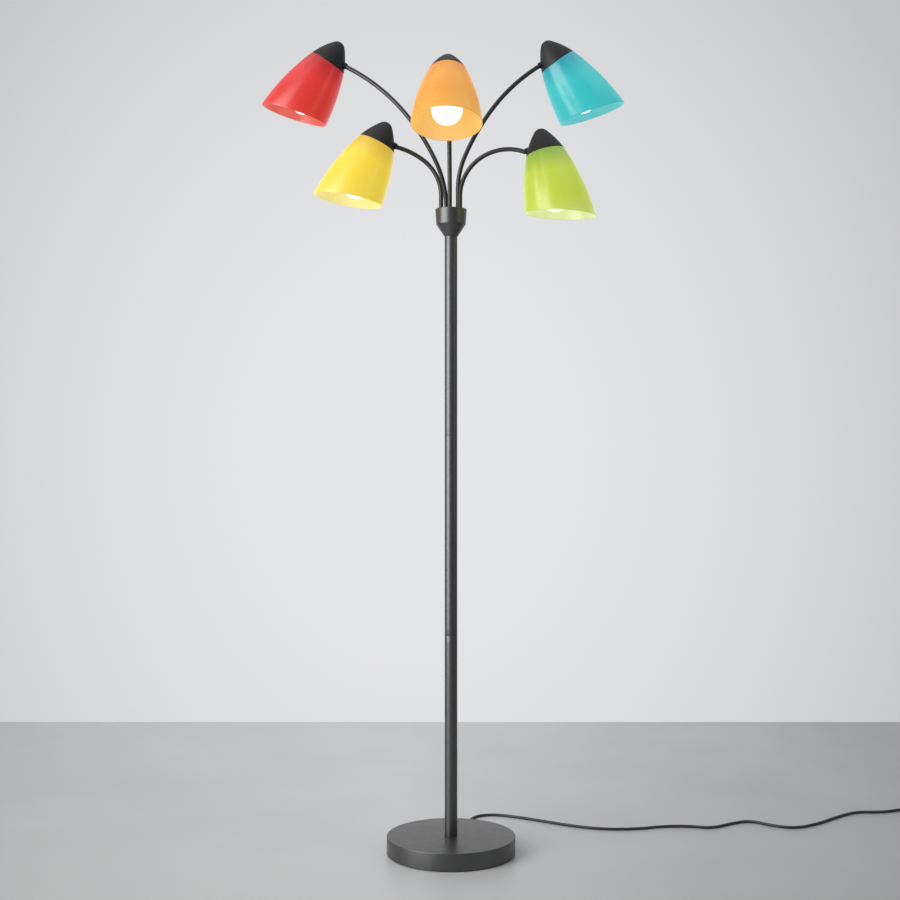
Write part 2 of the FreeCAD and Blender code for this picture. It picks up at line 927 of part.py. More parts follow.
def make_shade(name, frame):
    top = size("cap_length")
    end = shade_long()
    rim = half("cap_rim_diameter")
    wall = size("shade_wall")
    bulge = size("shade_bulge_radius")
    mouth = shade_mouth_radius()
    hole = half("socket_barrel_diameter") + size("shade_hole_gap")
    shell = revolved(
        f"{name}_shade_shell",
        [
            (hole, -top),
            (rim, -top, (bulge, -1)),
            (mouth, -end),
            (mouth - wall, -end, (bulge - wall, 1)),
            (rim - wall, -(top + wall)),
            (hole, -(top + wall)),
        ],
        frame,
    )
    # the mouth's plane passes through its longest and shortest sides
    long_side = size("shade_outer_length")
    short_side = size("shade_inner_length")
    slant = math.degrees(math.atan2((long_side - short_side).value, 2 * mouth.value))
    middle = (long_side + short_side) / 2
    depth = mouth * 4
    tool = primitive("Box", f"{name}_shade_trim", Length=depth, Width=depth, Height=mouth)
    corner = at(-depth / 2, -depth / 2, -mouth)
    tilt = at(0, 0, -middle, FreeCAD.Rotation(Vector(0, 1, 0), slant))
    tool.Placement = frame.multiply(tilt).multiply(corner)
    keep(cut(f"{name}_shade", shell, tool), f"{name}_shade")

    ring_top = top + wall
    ring_bore = half("socket_barrel_diameter") + size("fit_gap")
    ring = cylinder(
        f"{name}_ring_body",
        half("ring_diameter"),
        size("ring_height"),
        frame.multiply(at(z=-(ring_top + size("ring_height")))),
    )
    bore = cylinder(
        f"{name}_ring_bore",
        ring_bore,
        size("ring_height"),
        frame.multiply(at(z=-(ring_top + size("ring_height")))),
    )
    keep(cut(f"{name}_shade_ring", ring, bore), f"{name}_shade_ring")


def socket_end():
    return size("cap_length") + size("socket_barrel_length")


def make_socket(name, frame):
    stem = half("socket_stem_diameter")
    head = half("socket_head_diameter")
    flange = half("socket_flange_diameter")
    barrel = half("socket_barrel_diameter")
    bore = half("socket_bore_diameter")
    start = size("socket_head_start")
    flange_top = size("cap_length") - size("socket_flange_thickness")
    floor = socket_end() - size("socket_bore_depth")
    nose_inside = size("cap_nose_radius") - size("cap_wall")
    stem_top = size("cap_nose_radius") - root_of(nose_inside * nose_inside - stem * stem) + size("fit_gap")
    keep(
        revolved(
            f"{name}_socket",
            [
                (as_size(0), -stem_top),
                (stem, -stem_top),
                (stem, -start),
                (head, -start),
                (head, -flange_top),
                (flange, -flange_top),
                (flange, -size("cap_length")),
                (barrel, -size("cap_length")),
                (barrel, -socket_end()),
                (bore, -socket_end()),
                (bore, -floor),
                (as_size(0), -floor),
            ],
            frame,
        ),
        f"{name}_socket",
    )


def make_bulb(name, frame):
    globe = half("bulb_diameter")
    wall = size("bulb_wall")
    foot = socket_end() - size("socket_bore_depth") + size("bulb_seat_gap")
    base = half("bulb_base_diameter")
    collar = foot + size("bulb_base_length")
    skirt = half("bulb_skirt_diameter")
    tip = foot + size("bulb_length")
    centre = tip - globe
    joint = globe_joint(skirt, collar, globe, centre)
    inside = globe_joint(skirt - wall, collar + wall, globe - wall, centre)
    keep(
        revolved(
            f"{name}_bulb",
            [
                (base - wall, -foot),
                (base, -foot),
                (base, -collar),
                (skirt, -collar),
                (*joint, (globe, -1)),
                (as_size(0), -tip),
                (as_size(0), -(tip - wall), (globe - wall, 1)),
                inside,
                (skirt - wall, -(collar + wall)),
                (base - wall, -(collar + wall)),
            ],
            frame,
        ),
        f"{name}_bulb",
    )


def globe_joint(radius, start, globe, centre):
    """Point where a straight flank from (radius, start) runs tangent on to the globe."""
    reach = centre - start
    square = reach * reach + radius * radius
    flank = root_of(square - globe * globe)
    along_axis = (reach * flank + radius * globe) / square
    across = (reach * globe - radius * flank) / square
    return radius + across * flank, -(start + along_axis * flank)


# ---------------------------------------------------------------- cord and what is on it


def relief_tip():
    return half("base_diameter") + size("relief_length")


def make_strain_relief():
    flange = half("relief_flange_diameter")
    hole = half("relief_hole_diameter") - size("fit_gap")
    tip = half("relief_tip_diameter")
    bore = half("cord_diameter") + size("relief_bore_gap")
    thickness = size("relief_flange_thickness")
    wall = size("cover_wall")
    flat = size("swivel_gap")
    # heights run outward from the inner face of the base's wall
    keep(
        revolved(
            "cord_strain_relief",
            [
                (bore, -thickness),
                (hole + flat, -thickness),
                (hole + flat, -flat),
                (hole, -flat),
                (hole, wall + flat),
                (flange, wall + flat),
                (flange, wall + flat + thickness),
                (hole, wall + flat + thickness),
                (tip, wall + size("relief_length")),
                (bore, wall + size("relief_length")),
            ],
            radial_place(half("base_diameter") - wall, size("cord_exit_height")),
        ),
        "cord_strain_relief",
    )


def polyline_tube(points, share, report):
    """Tube's wire: straight runs joined by arcs as large as each pair of runs allows. Returns wire, length."""
    edges = []
    last = points[0]
    radii = []
    for before, corner, after in zip(points, points[1:], points[2:]):
        run_in = corner - before
        run_out = after - corner
        half_turn = run_in.getAngle(run_out) / 2
        shorter = min(run_in.Length, run_out.Length)
        radius = share * shorter / math.tan(half_turn)
        setback = radius * math.tan(half_turn)
        start = corner - run_in.normalize() * setback
        end = corner + run_out.normalize() * setback
        towards = ((start + end) * 0.5 - corner).normalize()
        middle = corner + towards * (radius / math.cos(half_turn) - radius)
        edges.append(Part.LineSegment(last, start).toShape())
        edges.append(Part.Arc(start, middle, end).toShape())
        radii.append(radius)
        last = end
    edges.append(Part.LineSegment(last, points[-1]).toShape())
    wire = Part.Wire(edges)
    print(report, "length", round(wire.Length, 1), "least radius", round(min(radii), 1))
    print(report, "radii", [round(r, 1) for r in radii])
    return wire


def make_inner_cable():
    """Cable from the strain relief's tip, under the weight, up the pole and into the hub."""
    radius = half("cord_diameter").value
    level = size("cord_exit_height").value
    bend = (base_levels()["nipple"] + size("thread_overrun")).value - level
    top = (hub_levels()["floor"] + size("nut_thickness") + half("terminal_block_height")).value
    way = exit_direction()
    tip = way * relief_tip().value + UP * level
    turn_start = way * bend + UP * level
    turn_end = UP * (level + bend)
    turn_middle = way * bend * (1 - math.sin(math.pi / 4)) + UP * (level + bend * (1 - math.cos(math.pi / 4)))
    wire = Part.Wire(
        [
            Part.LineSegment(tip, turn_start).toShape(),
            Part.Arc(turn_start, turn_middle, turn_end).toShape(),
            Part.LineSegment(turn_end, UP * top).toShape(),
        ]
    )
    plain_feature("inner_cable", tube_along(wire, radius))


def make_cord_run():
    radius = half("cord_diameter").value
    tip = exit_direction() * relief_tip().value + UP * size("cord_exit_height").value
    points = [tip] + [Vector(*p) for p in CORD_ROUTE]
    wire = polyline_tube(points, CORNER_SHARE, "cord run")
    tube = tube_along(wire, radius)
    expected = math.pi * radius**2 * wire.Length
    print("cord run volume over section times length", round(tube.Volume / expected, 4))
    plain_feature("cord_run", tube)


def switch_centre():
    face = Vector(*CORD_ROUTE[-1])
    reach = half("switch_diameter").value + size("switch_boss_length").value
    return Vector(face.x + reach, face.y, 0)


def make_foot_switch():
    centre = switch_centre()
    place = at(*centre)
    outer = half("switch_diameter")
    edge = size("switch_edge_radius")
    top = size("switch_height")
    well = half("button_diameter") + size("button_gap")
    floor = size("switch_well_floor")
    case = revolved(
        "switch_case",
        [
            (as_size(0), as_size(0)),
            (outer, as_size(0)),
            (outer, top - edge, (edge, 1)),
            (outer - edge, top),
            (well, top),
            (well, floor),
            (as_size(0), floor),
        ],
        place,
    )
    bosses = []
    for number, way in enumerate((-1, 1)):
        start = outer - size("switch_boss_length")
        boss = cylinder(
            f"switch_boss_{number}",
            half("switch_boss_diameter"),
            size("switch_boss_length") * 2,
            at(
                centre.x + way * start.value,
                centre.y,
                size("switch_entry_height"),
                along(Vector(way, 0, 0)),
            ),
        )
        bosses.append(boss)
    keep(fused("switch_body", case, *bosses), "switch_body")
    radius = half("button_diameter")
    foot = floor + size("button_rest_gap")
    dome = size("button_dome_radius")
    rise = dome - root_of(dome * dome - radius * radius)
    crown = size("button_top")
    keep(
        revolved(
            "switch_button",
            [
                (as_size(0), foot),
                (radius, foot),
                (radius, crown - rise, (dome, 1)),
                (as_size(0), crown),
            ],
            place,
        ),
        "switch_button",
    )


def biarc(start, start_way, end, end_way):
    """Two arcs that join start to end and leave and arrive along the given directions."""
    span = end - start
    ways = start_way + end_way
    gap = 2 * (1 - start_way.dot(end_way))
    reach = span.dot(ways)
    if gap < 1e-9:
        arm = span.dot(span) / (4 * span.dot(end_way))
    else:
        arm = (-reach + math.sqrt(reach**2 + gap * span.dot(span))) / gap
    joint = (start + end + (start_way - end_way) * arm) * 0.5
    return [arc_from(start, start_way, joint), arc_from(end, -end_way, joint, True)]


def arc_from(start, way, end, backwards=False):
    """Arc, or line, that leaves start along way and ends at end."""
    chord = end - start
    turn = way.getAngle(chord)
    if turn < 1e-6:
        edge = Part.LineSegment(end, start) if backwards else Part.LineSegment(start, end)
        return edge.toShape()
    normal = (chord - way * chord.dot(way)).normalize()
    radius = chord.Length / (2 * math.sin(turn))
    centre = start + normal * radius
    middle = centre + (way * math.sin(turn) - normal * math.cos(turn)) * radius
    arc = Part.Arc(end, middle, start) if backwards else Part.Arc(start, middle, end)
    return arc.toShape()


def coil_station(quarter, centre, level):
    """Point and direction of the coil after so many quarter turns: in for the first half, then out."""
    turning = COIL_CLIMB_FROM + (COIL_CLIMB_TO - COIL_CLIMB_FROM) / 2
    pitch = size("coil_pitch").value / 4
    radius = size("coil_outer_radius").value - pitch * min(quarter, 2 * turning - quarter)
    angle = math.radians(90 - 90 * quarter)
    climb = min(max((quarter - COIL_CLIMB_FROM) / (COIL_CLIMB_TO - COIL_CLIMB_FROM), 0), 1)
    height = level + size("coil_layer_rise").value * climb
    point = centre + Vector(radius * math.cos(angle), radius * math.sin(angle), 0)
    point.z = height
    drift = 0.0 if quarter == turning else -pitch if quarter < turning else pitch
    way = Vector(math.sin(angle), -math.cos(angle), 0) * (radius * math.pi / 2)
    way += Vector(math.cos(angle), math.sin(angle), 0) * drift
    if 0 < climb < 1:
        way.z = size("coil_layer_rise").value / (COIL_CLIMB_TO - COIL_CLIMB_FROM) * 1.4
    return point, way.normalize()


def coil_wire():
    radius = half("cord_diameter").value
    ahead = Vector(1, 0, 0)
    reach = half("switch_diameter").value + size("switch_boss_length").value
    start = switch_centre() + Vector(reach, 0, size("switch_entry_height").value)
    straight_end = start + ahead * (2 * radius)
    first = Vector(start.x + size("coil_lead").value, start.y, radius)
    centre = Vector(first.x, first.y - size("coil_outer_radius").value, 0)
    stations = [coil_station(q, centre, radius) for q in range(COIL_QUARTER_TURNS + 1)]
    edges = [Part.LineSegment(start, straight_end).toShape()]
    edges += biarc(straight_end, ahead, stations[0][0], stations[0][1])
    for (point, way), (following, next_way) in zip(stations, stations[1:]):
        edges += biarc(point, way, following, next_way)
    last_point, last_way = stations[-1]
    end = last_point + last_way * size("coil_tail").value
    edges.append(Part.LineSegment(last_point, end).toShape())
    return Part.Wire(edges), end, last_way


def least_self_gap(wire, diameter):
    """Least clear distance between stretches of the tube that lie at least half a turn apart."""
    count = int(wire.Length / 2)
    points = wire.discretize(Number=count)
    step = wire.Length / (count - 1)
    apart = int(60 / step)
    least = min(
        (points[i] - points[j]).Length for i in range(count) for j in range(i + apart, count)
    )
    return least - diameter


def make_coil_and_plug():
    radius = half("cord_diameter").value
    wire, end, way = coil_wire()
    print("cord coil length", round(wire.Length, 1), "least gap to itself",
          round(least_self_gap(wire, 2 * radius), 2))
    tube = tube_along(wire, radius)
    print("cord coil volume over section times length",
          round(tube.Volume / (math.pi * radius**2 * wire.Length), 4))
    plain_feature("cord_coil", tube)
    make_plug(end, way)


def make_plug(end, way):
    length = size("plug_length")
    width = size("plug_width")
    height = size("plug_height")
    turn = FreeCAD.Rotation(way, UP.cross(way), UP, "XYZ")
    frame = FreeCAD.Placement(end, turn)
    block = primitive("Box", "plug_block", Length=length, Width=width, Height=height)
    doc.recompute()
    block.Placement = frame.multiply(at(0, -width / 2, -height / 2))
    doc.recompute()
    rounded = doc.addObject("Part::Fillet", "plug_rounded")
    rounded.Base = block
    edge_radius = size("plug_edge_radius").value
    rounded.Edges = [(n, edge_radius, edge_radius) for n in range(1, len(block.Shape.Edges) + 1)]
    keep(rounded, "plug_body")
    blades = []
    for number, side in enumerate((-1, 1)):
        blade = primitive(
            "Box",
            f"blade_{number}",
            Length=size("blade_length"),
            Width=size("blade_thickness"),
            Height=size("blade_width"),
        )
        offset = size("blade_spacing") / 2 * side - size("blade_thickness") / 2
        blade.Placement = frame.multiply(at(length, offset, -size("blade_width") / 2))
        blades.append(blade)
    keep(group("plug_blades", blades), "plug_blades")


# ---------------------------------------------------------------- whole lamp


def build():
    make_sheet(CELLS)
    base_nipple, base_nut = make_base()
    make_pole()
    hub_nipple, hub_nuts = make_hub()
    keep(group("threaded_nipples", [base_nipple, hub_nipple]), "threaded_nipples")
    keep(group("lock_nuts", [base_nut, *hub_nuts]), "lock_nuts")
    for name in ARMS:
        stations = arm_path(name)
        for number, station in enumerate(stations, start=1):
            make_link(name, number, station)
        make_head(name)
    make_strain_relief()
    make_inner_cable()
    make_cord_run()
    make_foot_switch()
    make_coil_and_plug()
    doc.recompute()


def check():
    for obj in doc.Objects:
        if "Invalid" in obj.State or "Error" in obj.State:
            raise RuntimeError(f"{obj.Name} failed: {obj.State}")
    for obj in sub_parts:
        if obj.Shape.isNull() or not obj.Shape.isValid() or not obj.Shape.Solids:
            raise RuntimeError(f"{obj.Label} has no valid solid")


def export():
    os.makedirs("parts", exist_ok=True)
    for obj in sub_parts:
        obj.Shape.exportStep(os.path.join("parts", f"{obj.Label}.step"))
    print(len(sub_parts), "sub-parts written")


CELLS = {**SIZES, **arm_cells()}
build()
check()
export()
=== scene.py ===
"""Tree floor lamp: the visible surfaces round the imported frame. Metres, +Z up, -Y towards the viewer."""

import math

import bmesh
import bpy
from mathutils import Matrix, Vector


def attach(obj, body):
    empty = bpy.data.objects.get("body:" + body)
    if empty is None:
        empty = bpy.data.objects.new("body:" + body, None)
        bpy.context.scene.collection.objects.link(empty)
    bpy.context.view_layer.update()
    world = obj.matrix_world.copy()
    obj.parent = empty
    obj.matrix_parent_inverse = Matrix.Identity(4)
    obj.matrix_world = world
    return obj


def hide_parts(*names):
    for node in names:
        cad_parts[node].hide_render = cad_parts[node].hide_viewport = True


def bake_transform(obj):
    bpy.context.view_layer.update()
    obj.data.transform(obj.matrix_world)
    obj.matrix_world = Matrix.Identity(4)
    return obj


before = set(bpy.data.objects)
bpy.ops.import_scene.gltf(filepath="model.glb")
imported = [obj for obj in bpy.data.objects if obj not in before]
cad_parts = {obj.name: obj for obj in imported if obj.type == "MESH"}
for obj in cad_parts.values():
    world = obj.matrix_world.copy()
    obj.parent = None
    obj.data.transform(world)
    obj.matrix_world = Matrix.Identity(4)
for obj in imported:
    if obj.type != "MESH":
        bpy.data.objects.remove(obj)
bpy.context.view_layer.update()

MM = 0.001
UP = Vector((0, 0, 1))

# ---------------------------------------------------------------- sizes, millimetres

BASE_RADIUS = 128.5
BASE_HEIGHT = 35.6
COVER_WALL = 1.5
PAD_RADIUS = 123.0
PAD_THICKNESS = 1.6
NIPPLE_HOLE = 5.4
POLE_RADIUS = 12.7
POLE_WALL = 1.2
POLE_SECTION = 399.0
POLE_TOP = BASE_HEIGHT + 3 * POLE_SECTION
HUB_RIM = POLE_TOP + 54.4
NECK_RADIUS = 4.5
NECK_RING = 20.0
NECK_STEP = 1.1
NECK_GROOVE = 0.16
COLLAR_DISTANCE = 35.0
COLLAR_REACH = 39.0
CAP_LENGTH = 48.3
CAP_NOSE = 16.0
CAP_RIM = 38.0
CAP_SLOPE = 22.0
CAP_WALL = 1.8
SHADE_LONG = 195.0
SHADE_SHORT = 155.0
SHADE_END = 199.0
SHADE_MOUTH = 67.8
SHADE_BULGE = 455.0
SHADE_WALL = 2.0
SHADE_HOLE = 20.3
RING_RIBS = 30
RING_RIB_DEPTH = 0.9
THREAD_TURNS = 12
BULB_FOOT = 59.6
BULB_TIP = 167.0
BULB_GLOBE = 29.2
BULB_NECK = 15.6
CORD_DIAMETER = 6.0
EXIT_ANGLE = 80.0
RELIEF_TIP = 150.5
EXIT_HEIGHT = 8.0

ARMS = {
    "red": dict(
        root=118, heading=169.4, stub=4, links=(97.6, 134.5, 143.9), turns=(24.8, 16.65, 20.5), tilt=34.5
    ),
    "teal": dict(
        root=46, heading=11, stub=40, links=(71.8, 102.3, 143.9), turns=(23.4, 11.9, 21.2), tilt=35.2
    ),
    "orange": dict(
        root=-97, heading=-91.7, stub=6, links=(120.0, 119.6), turns=(24.2, 24.0), tilt=30.8
    ),
    "yellow": dict(
        root=190, heading=184, stub=26, links=(82.5, 57.5), turns=(53.5, 21.7), tilt=26.7
    ),
    "green": dict(
        root=-26, heading=-16, stub=23, links=(95.2, 87.9), turns=(62.1, 49.9), tilt=13.5
    ),
}
LINK_NAMES = {2: ("lower", "upper"), 3: ("lower", "middle", "upper")}

CORD_ROUTE = [
    (31.3, 177.8, 8.0),
    (36.5, 208.5, 4.2),
    (43.0, 240.0, 3.0),
    (62.0, 270.0, 3.0),
    (100.0, 277.0, 3.0),
    (150.0, 254.0, 3.0),
    (205.0, 220.0, 3.0),
    (262.0, 184.0, 3.0),
    (325.0, 160.0, 3.0),
    (395.0, 162.0, 3.0),
    (455.0, 184.0, 3.0),
    (510.0, 184.0, 3.0),
    (553.0, 168.0, 3.0),
    (600.0, 203.0, 3.0),
    (647.0, 229.0, 3.0),
    (692.0, 183.0, 3.0),
    (735.0, 169.0, 3.0),
    (790.0, 204.0, 3.0),
    (845.0, 258.0, 3.0),
    (900.0, 301.0, 3.0),
    (956.0, 296.0, 3.0),
    (1002.0, 318.0, 3.0),
    (1026.0, 326.0, 3.8),
    (1048.0, 328.0, 8.0),
    (1068.0, 328.0, 8.0),
]
SWITCH_RADIUS = 30.0
SWITCH_BOSS = 8.0
COIL_LEAD = 48.0
COIL_RADIUS = 36.5
COIL_PITCH = 6.8
COIL_RISE = 6.6
COIL_TAIL = 46.0
COIL_QUARTERS = 10
COIL_CLIMB = (4, 6)
COIL_POINTS_PER_QUARTER = 4

# ---------------------------------------------------------------- light that the bulbs give, and the painted glow of the shades

BULB_GLOW = 1.7
SHADE_GLOW = 0.72
SHADE_DIFFUSE = 0.27


# ---------------------------------------------------------------- camera

CAMERA_PLACE = (-0.002, -2.744, 0.8056)
FOCAL_PIXELS = 1372.0
FRAME_PIXELS = 900.0
SENSOR = 36.0

camera_data = bpy.data.cameras.new("camera")
camera_data.sensor_width = SENSOR
camera_data.sensor_fit = "HORIZONTAL"
camera_data.lens = FOCAL_PIXELS / FRAME_PIXELS * SENSOR
camera_data.clip_end = 60
camera = bpy.data.objects.new("camera", camera_data)
camera.location = CAMERA_PLACE
camera.rotation_euler = (math.pi / 2, 0, 0)
bpy.context.scene.collection.objects.link(camera)
bpy.context.scene.camera = camera
bpy.context.scene.view_settings.view_transform = "Standard"


# ---------------------------------------------------------------- node materials


class Nodes:
    """Short hand for building one material's node tree."""

    def __init__(self, name):
        self.material = bpy.data.materials.new(name)
        self.material.use_nodes = True
        self.tree = self.material.node_tree
        self.tree.nodes.clear()
        self.output = self.add("ShaderNodeOutputMaterial")
        self.coordinates = self.add("ShaderNodeTexCoord")
        self.position = self.coordinates.outputs["Object"]

    def add(self, kind, **values):
        node = self.tree.nodes.new(kind)
        for key, value in values.items():
            setattr(node, key, value)
        return node

    def link(self, source, target):
        self.tree.links.new(source, target)

    def put(self, socket, value):
        if isinstance(value, bpy.types.NodeSocket):
            self.link(value, socket)
        elif isinstance(value, (tuple, list)) and len(value) == 3 and socket.type == "RGBA":
            socket.default_value = (*value, 1)
        else:
            socket.default_value = value

    def noise(self, scale, detail=3.0, roughness=0.5, stretch=None):
        node = self.add("ShaderNodeTexNoise")
        vector = self.position
        if stretch:
            mapping = self.add("ShaderNodeMapping")
            mapping.inputs["Scale"].default_value = stretch
            self.link(self.position, mapping.inputs["Vector"])
            vector = mapping.outputs["Vector"]
        self.link(vector, node.inputs["Vector"])
        node.inputs["Scale"].default_value = scale
        node.inputs["Detail"].default_value = detail
        node.inputs["Roughness"].default_value = roughness
        return node.outputs["Fac"]

    def remap(self, value, low, high, to_low=0.0, to_high=1.0):
        node = self.add("ShaderNodeMapRange")
        self.put(node.inputs["Value"], value)
        for key, number in zip(("From Min", "From Max", "To Min", "To Max"), (low, high, to_low, to_high)):
            node.inputs[key].default_value = number
        return node.outputs["Result"]

    def ramp(self, value, stops):
        node = self.add("ShaderNodeValToRGB")
        band = node.color_ramp
        while len(band.elements) < len(stops):
            band.elements.new(0.5)
        for element, (place, colour) in zip(band.elements, stops):
            element.position = place
            element.color = (*colour, 1)
        self.link(value, node.inputs["Fac"])
        return node.outputs["Color"]

    def mix(self, factor, first, second):
        node = self.add("ShaderNodeMix", data_type="RGBA")
        self.put(node.inputs[0], factor)
        self.put(node.inputs[6], first)
        self.put(node.inputs[7], second)
        return node.outputs[2]

    def math(self, operation, first, second):
        node = self.add("ShaderNodeMath", operation=operation)
        self.put(node.inputs[0], first)
        self.put(node.inputs[1], second)
        return node.outputs[0]

    def axis(self, which):
        node = self.add("ShaderNodeSeparateXYZ")
        self.link(self.position, node.inputs[0])
        return node.outputs[which]

    def faces_axis(self):
        """1 on faces that look away from the local Z axis, 0 on those that look towards it."""
        flat = self.add("ShaderNodeVectorMath", operation="MULTIPLY")
        self.link(self.coordinates.outputs["Normal"], flat.inputs[0])
        flat.inputs[1].default_value = (1, 1, 0)
        dot = self.add("ShaderNodeVectorMath", operation="DOT_PRODUCT")
        self.link(flat.outputs[0], dot.inputs[0])
        self.link(self.position, dot.inputs[1])
        return self.math("GREATER_THAN", dot.outputs["Value"], 0.0)

    def bump(self, height, strength, distance):
        node = self.add("ShaderNodeBump")
        node.inputs["Strength"].default_value = strength
        node.inputs["Distance"].default_value = distance
        self.link(height, node.inputs["Height"])
        return node.outputs["Normal"]

    def principled(self, **sockets):
        node = self.add("ShaderNodeBsdfPrincipled")
        for key, value in sockets.items():
            self.put(node.inputs[key.replace("_", " ")], value)
        self.link(node.outputs[0], self.output.inputs["Surface"])
        return node


def black_metal(name, colour=0.011, roughness=0.37, ior=1.9, grain=900.0):
    """Black powder coat with a fine orange peel."""
    n = Nodes(name)
    mottle = n.noise(22.0, 4.0)
    fine = n.noise(grain, 2.0)
    tint = n.mix(mottle, (colour * 0.9,) * 3, (colour * 1.12, colour * 1.12, colour * 1.16))
    shine = n.remap(n.noise(60.0, 5.0), 0.3, 0.7, roughness - 0.03, roughness + 0.03)
    n.principled(Base_Color=tint, Roughness=shine, IOR=ior, Normal=n.bump(fine, 0.1, 0.0003))
    return n.material


def moulded_plastic(name, colour, roughness=0.45, grain=1400.0, bump=0.12):
    """Matt moulding with a fine spark texture."""
    n = Nodes(name)
    low, high = tuple(c * 0.9 for c in colour), tuple(min(1, c * 1.1) for c in colour)
    tint = n.mix(n.noise(35.0, 4.0), low, high)
    shine = n.remap(n.noise(90.0, 4.0), 0.3, 0.7, roughness - 0.05, roughness + 0.07)
    spark = n.bump(n.noise(grain, 2.0), bump, 0.0004)
    n.principled(Base_Color=tint, Roughness=shine, IOR=1.5, Normal=spark)
    return n.material


def bare_metal(name, colour, roughness=0.3, stretch=(1, 1, 12)):
    n = Nodes(name)
    grain = n.noise(400.0, 3.0, stretch=stretch)
    tint = n.mix(n.noise(30.0, 3.0), tuple(c * 0.86 for c in colour), colour)
    shine = n.remap(grain, 0.3, 0.7, roughness - 0.08, roughness + 0.1)
    n.principled(Base_Color=tint, Metallic=1.0, Roughness=shine, Normal=n.bump(grain, 0.08, 0.0003))
    return n.material


def cast_iron(name):
    n = Nodes(name)
    grain = n.noise(260.0, 6.0, 0.7)
    tint = n.mix(n.noise(14.0, 4.0), (0.05, 0.05, 0.052), (0.11, 0.105, 0.1))
    n.principled(Base_Color=tint, Metallic=0.6, Roughness=0.7, Normal=n.bump(grain, 0.6, 0.001))
    return n.material


def rubber(name):
    n = Nodes(name)
    tint = n.mix(n.noise(50.0, 4.0), (0.018, 0.018, 0.019), (0.03, 0.03, 0.031))
    n.principled(Base_Color=tint, Roughness=0.75, Normal=n.bump(n.noise(1100.0, 3.0), 0.3, 0.0005))
    return n.material


def shade_plastic(name, shaded_by_cap, middle, lit_near_mouth, lit_inner_face):
    """Translucent moulded plastic lit by its bulb, with painted light: painted shade deeper by the cap, paler
    painted light towards the mouth and on its inner face, and a painted glow over the whole shell.
    """
    n = Nodes(name)
    depth = n.remap(n.axis(2), -CAP_LENGTH * MM, -SHADE_LONG * MM)
    drift = n.math("ADD", depth, n.remap(n.noise(9.0, 3.0), 0.3, 0.7, -0.04, 0.04))
    # painted shade by the cap, the plastic's own colour in the middle, painted light towards the mouth
    outside = n.ramp(drift, [(0.0, shaded_by_cap), (0.3, middle), (0.7, middle), (1.0, lit_near_mouth)])
    # the inner face takes the paler painted light of the bulb
    colour = n.mix(n.faces_axis(), lit_inner_face, outside)
    shine = n.remap(n.noise(40.0, 4.0), 0.3, 0.7, 0.26, 0.33)
    shader = n.principled(
        Base_Color=n.mix(SHADE_DIFFUSE, (0, 0, 0), colour),
        Roughness=shine,
        IOR=1.52,
        Subsurface_Weight=0.2,
        Subsurface_Radius=(0.004, 0.004, 0.004),
        Subsurface_Scale=1.0,
        # emission: a painted glow that stands in for the bulb's light through the plastic
        Emission_Color=colour,
        Emission_Strength=SHADE_GLOW,
        Normal=n.bump(n.noise(500.0, 2.0), 0.03, 0.0003),
    )
    shader.subsurface_method = "RANDOM_WALK"
    return n.material


def opal_glass(name):
    """Opal globe, lit: whitest at the middle, warmer towards its neck."""
    n = Nodes(name)
    depth = n.remap(n.axis(2), -0.075, -0.16)
    warm, cream, white = (1.0, 0.83, 0.6), (1.0, 0.95, 0.85), (1.0, 0.98, 0.93)
    colour = n.ramp(depth, [(0.0, warm), (0.4, cream), (1.0, white)])
    strength = n.remap(depth, 0.0, 0.6, 1.0, BULB_GLOW)
    n.principled(
        Base_Color=(0.92, 0.9, 0.86),
        Roughness=n.remap(n.noise(60.0, 3.0), 0.3, 0.7, 0.2, 0.3),
        Emission_Color=colour,
        Emission_Strength=strength,
    )
    return n.material


# each shade: painted shade by the cap, its own colour, painted light towards the mouth, paler painted light
# on its inner face
SHADE_TONES = {
    "red": ((0.44, 0.014, 0.018), (0.7, 0.034, 0.028), (0.76, 0.06, 0.04), (0.76, 0.13, 0.1)),
    "teal": ((0.018, 0.33, 0.42), (0.04, 0.55, 0.57), (0.05, 0.52, 0.57), (0.14, 0.6, 0.62)),
    "orange": ((0.78, 0.25, 0.014), (0.84, 0.34, 0.02), (0.87, 0.41, 0.05), (0.88, 0.5, 0.13)),
    "yellow": ((0.7, 0.46, 0.045), (0.93, 0.69, 0.06), (0.93, 0.7, 0.11), (0.94, 0.8, 0.3)),
    "green": ((0.23, 0.41, 0.045), (0.53, 0.66, 0.06), (0.6, 0.7, 0.15), (0.72, 0.8, 0.36)),
}

BLACK = black_metal("black_powder_coat")
CAP_BLACK = black_metal("cap_satin", colour=0.013, roughness=0.5, ior=1.36)
NECK_BLACK = black_metal("neck_black", colour=0.012, roughness=0.34, ior=1.55, grain=1500.0)
BLACK_PLASTIC = moulded_plastic("black_plastic", (0.022, 0.022, 0.024), 0.48)
CORD_PVC = moulded_plastic("cord_sheath", (0.02, 0.02, 0.021), 0.42, 700.0, 0.1)
WHITE_PLASTIC = moulded_plastic("white_plastic", (0.8, 0.79, 0.76), 0.35)
ZINC = bare_metal("zinc_steel", (0.6, 0.6, 0.61))
BRASS = bare_metal("brass", (0.78, 0.58, 0.26), 0.22, (12, 1, 1))
IRON = cast_iron("cast_iron")
RUBBER = rubber("rubber")
OPAL = opal_glass("opal_glass")
SHADES = {name: shade_plastic(f"{name}_plastic", *tones) for name, tones in SHADE_TONES.items()}


# ---------------------------------------------------------------- mesh makers


def add_object(name, mesh, material, place=None, sharp=35.0):
    mesh.materials.append(material)
    mesh.shade_smooth()
    mesh.set_sharp_from_angle(angle=math.radians(sharp))
    made = bpy.data.objects.new(name, mesh)
    if place is not None:
        made.matrix_world = place
    bpy.context.scene.collection.objects.link(made)
    return made


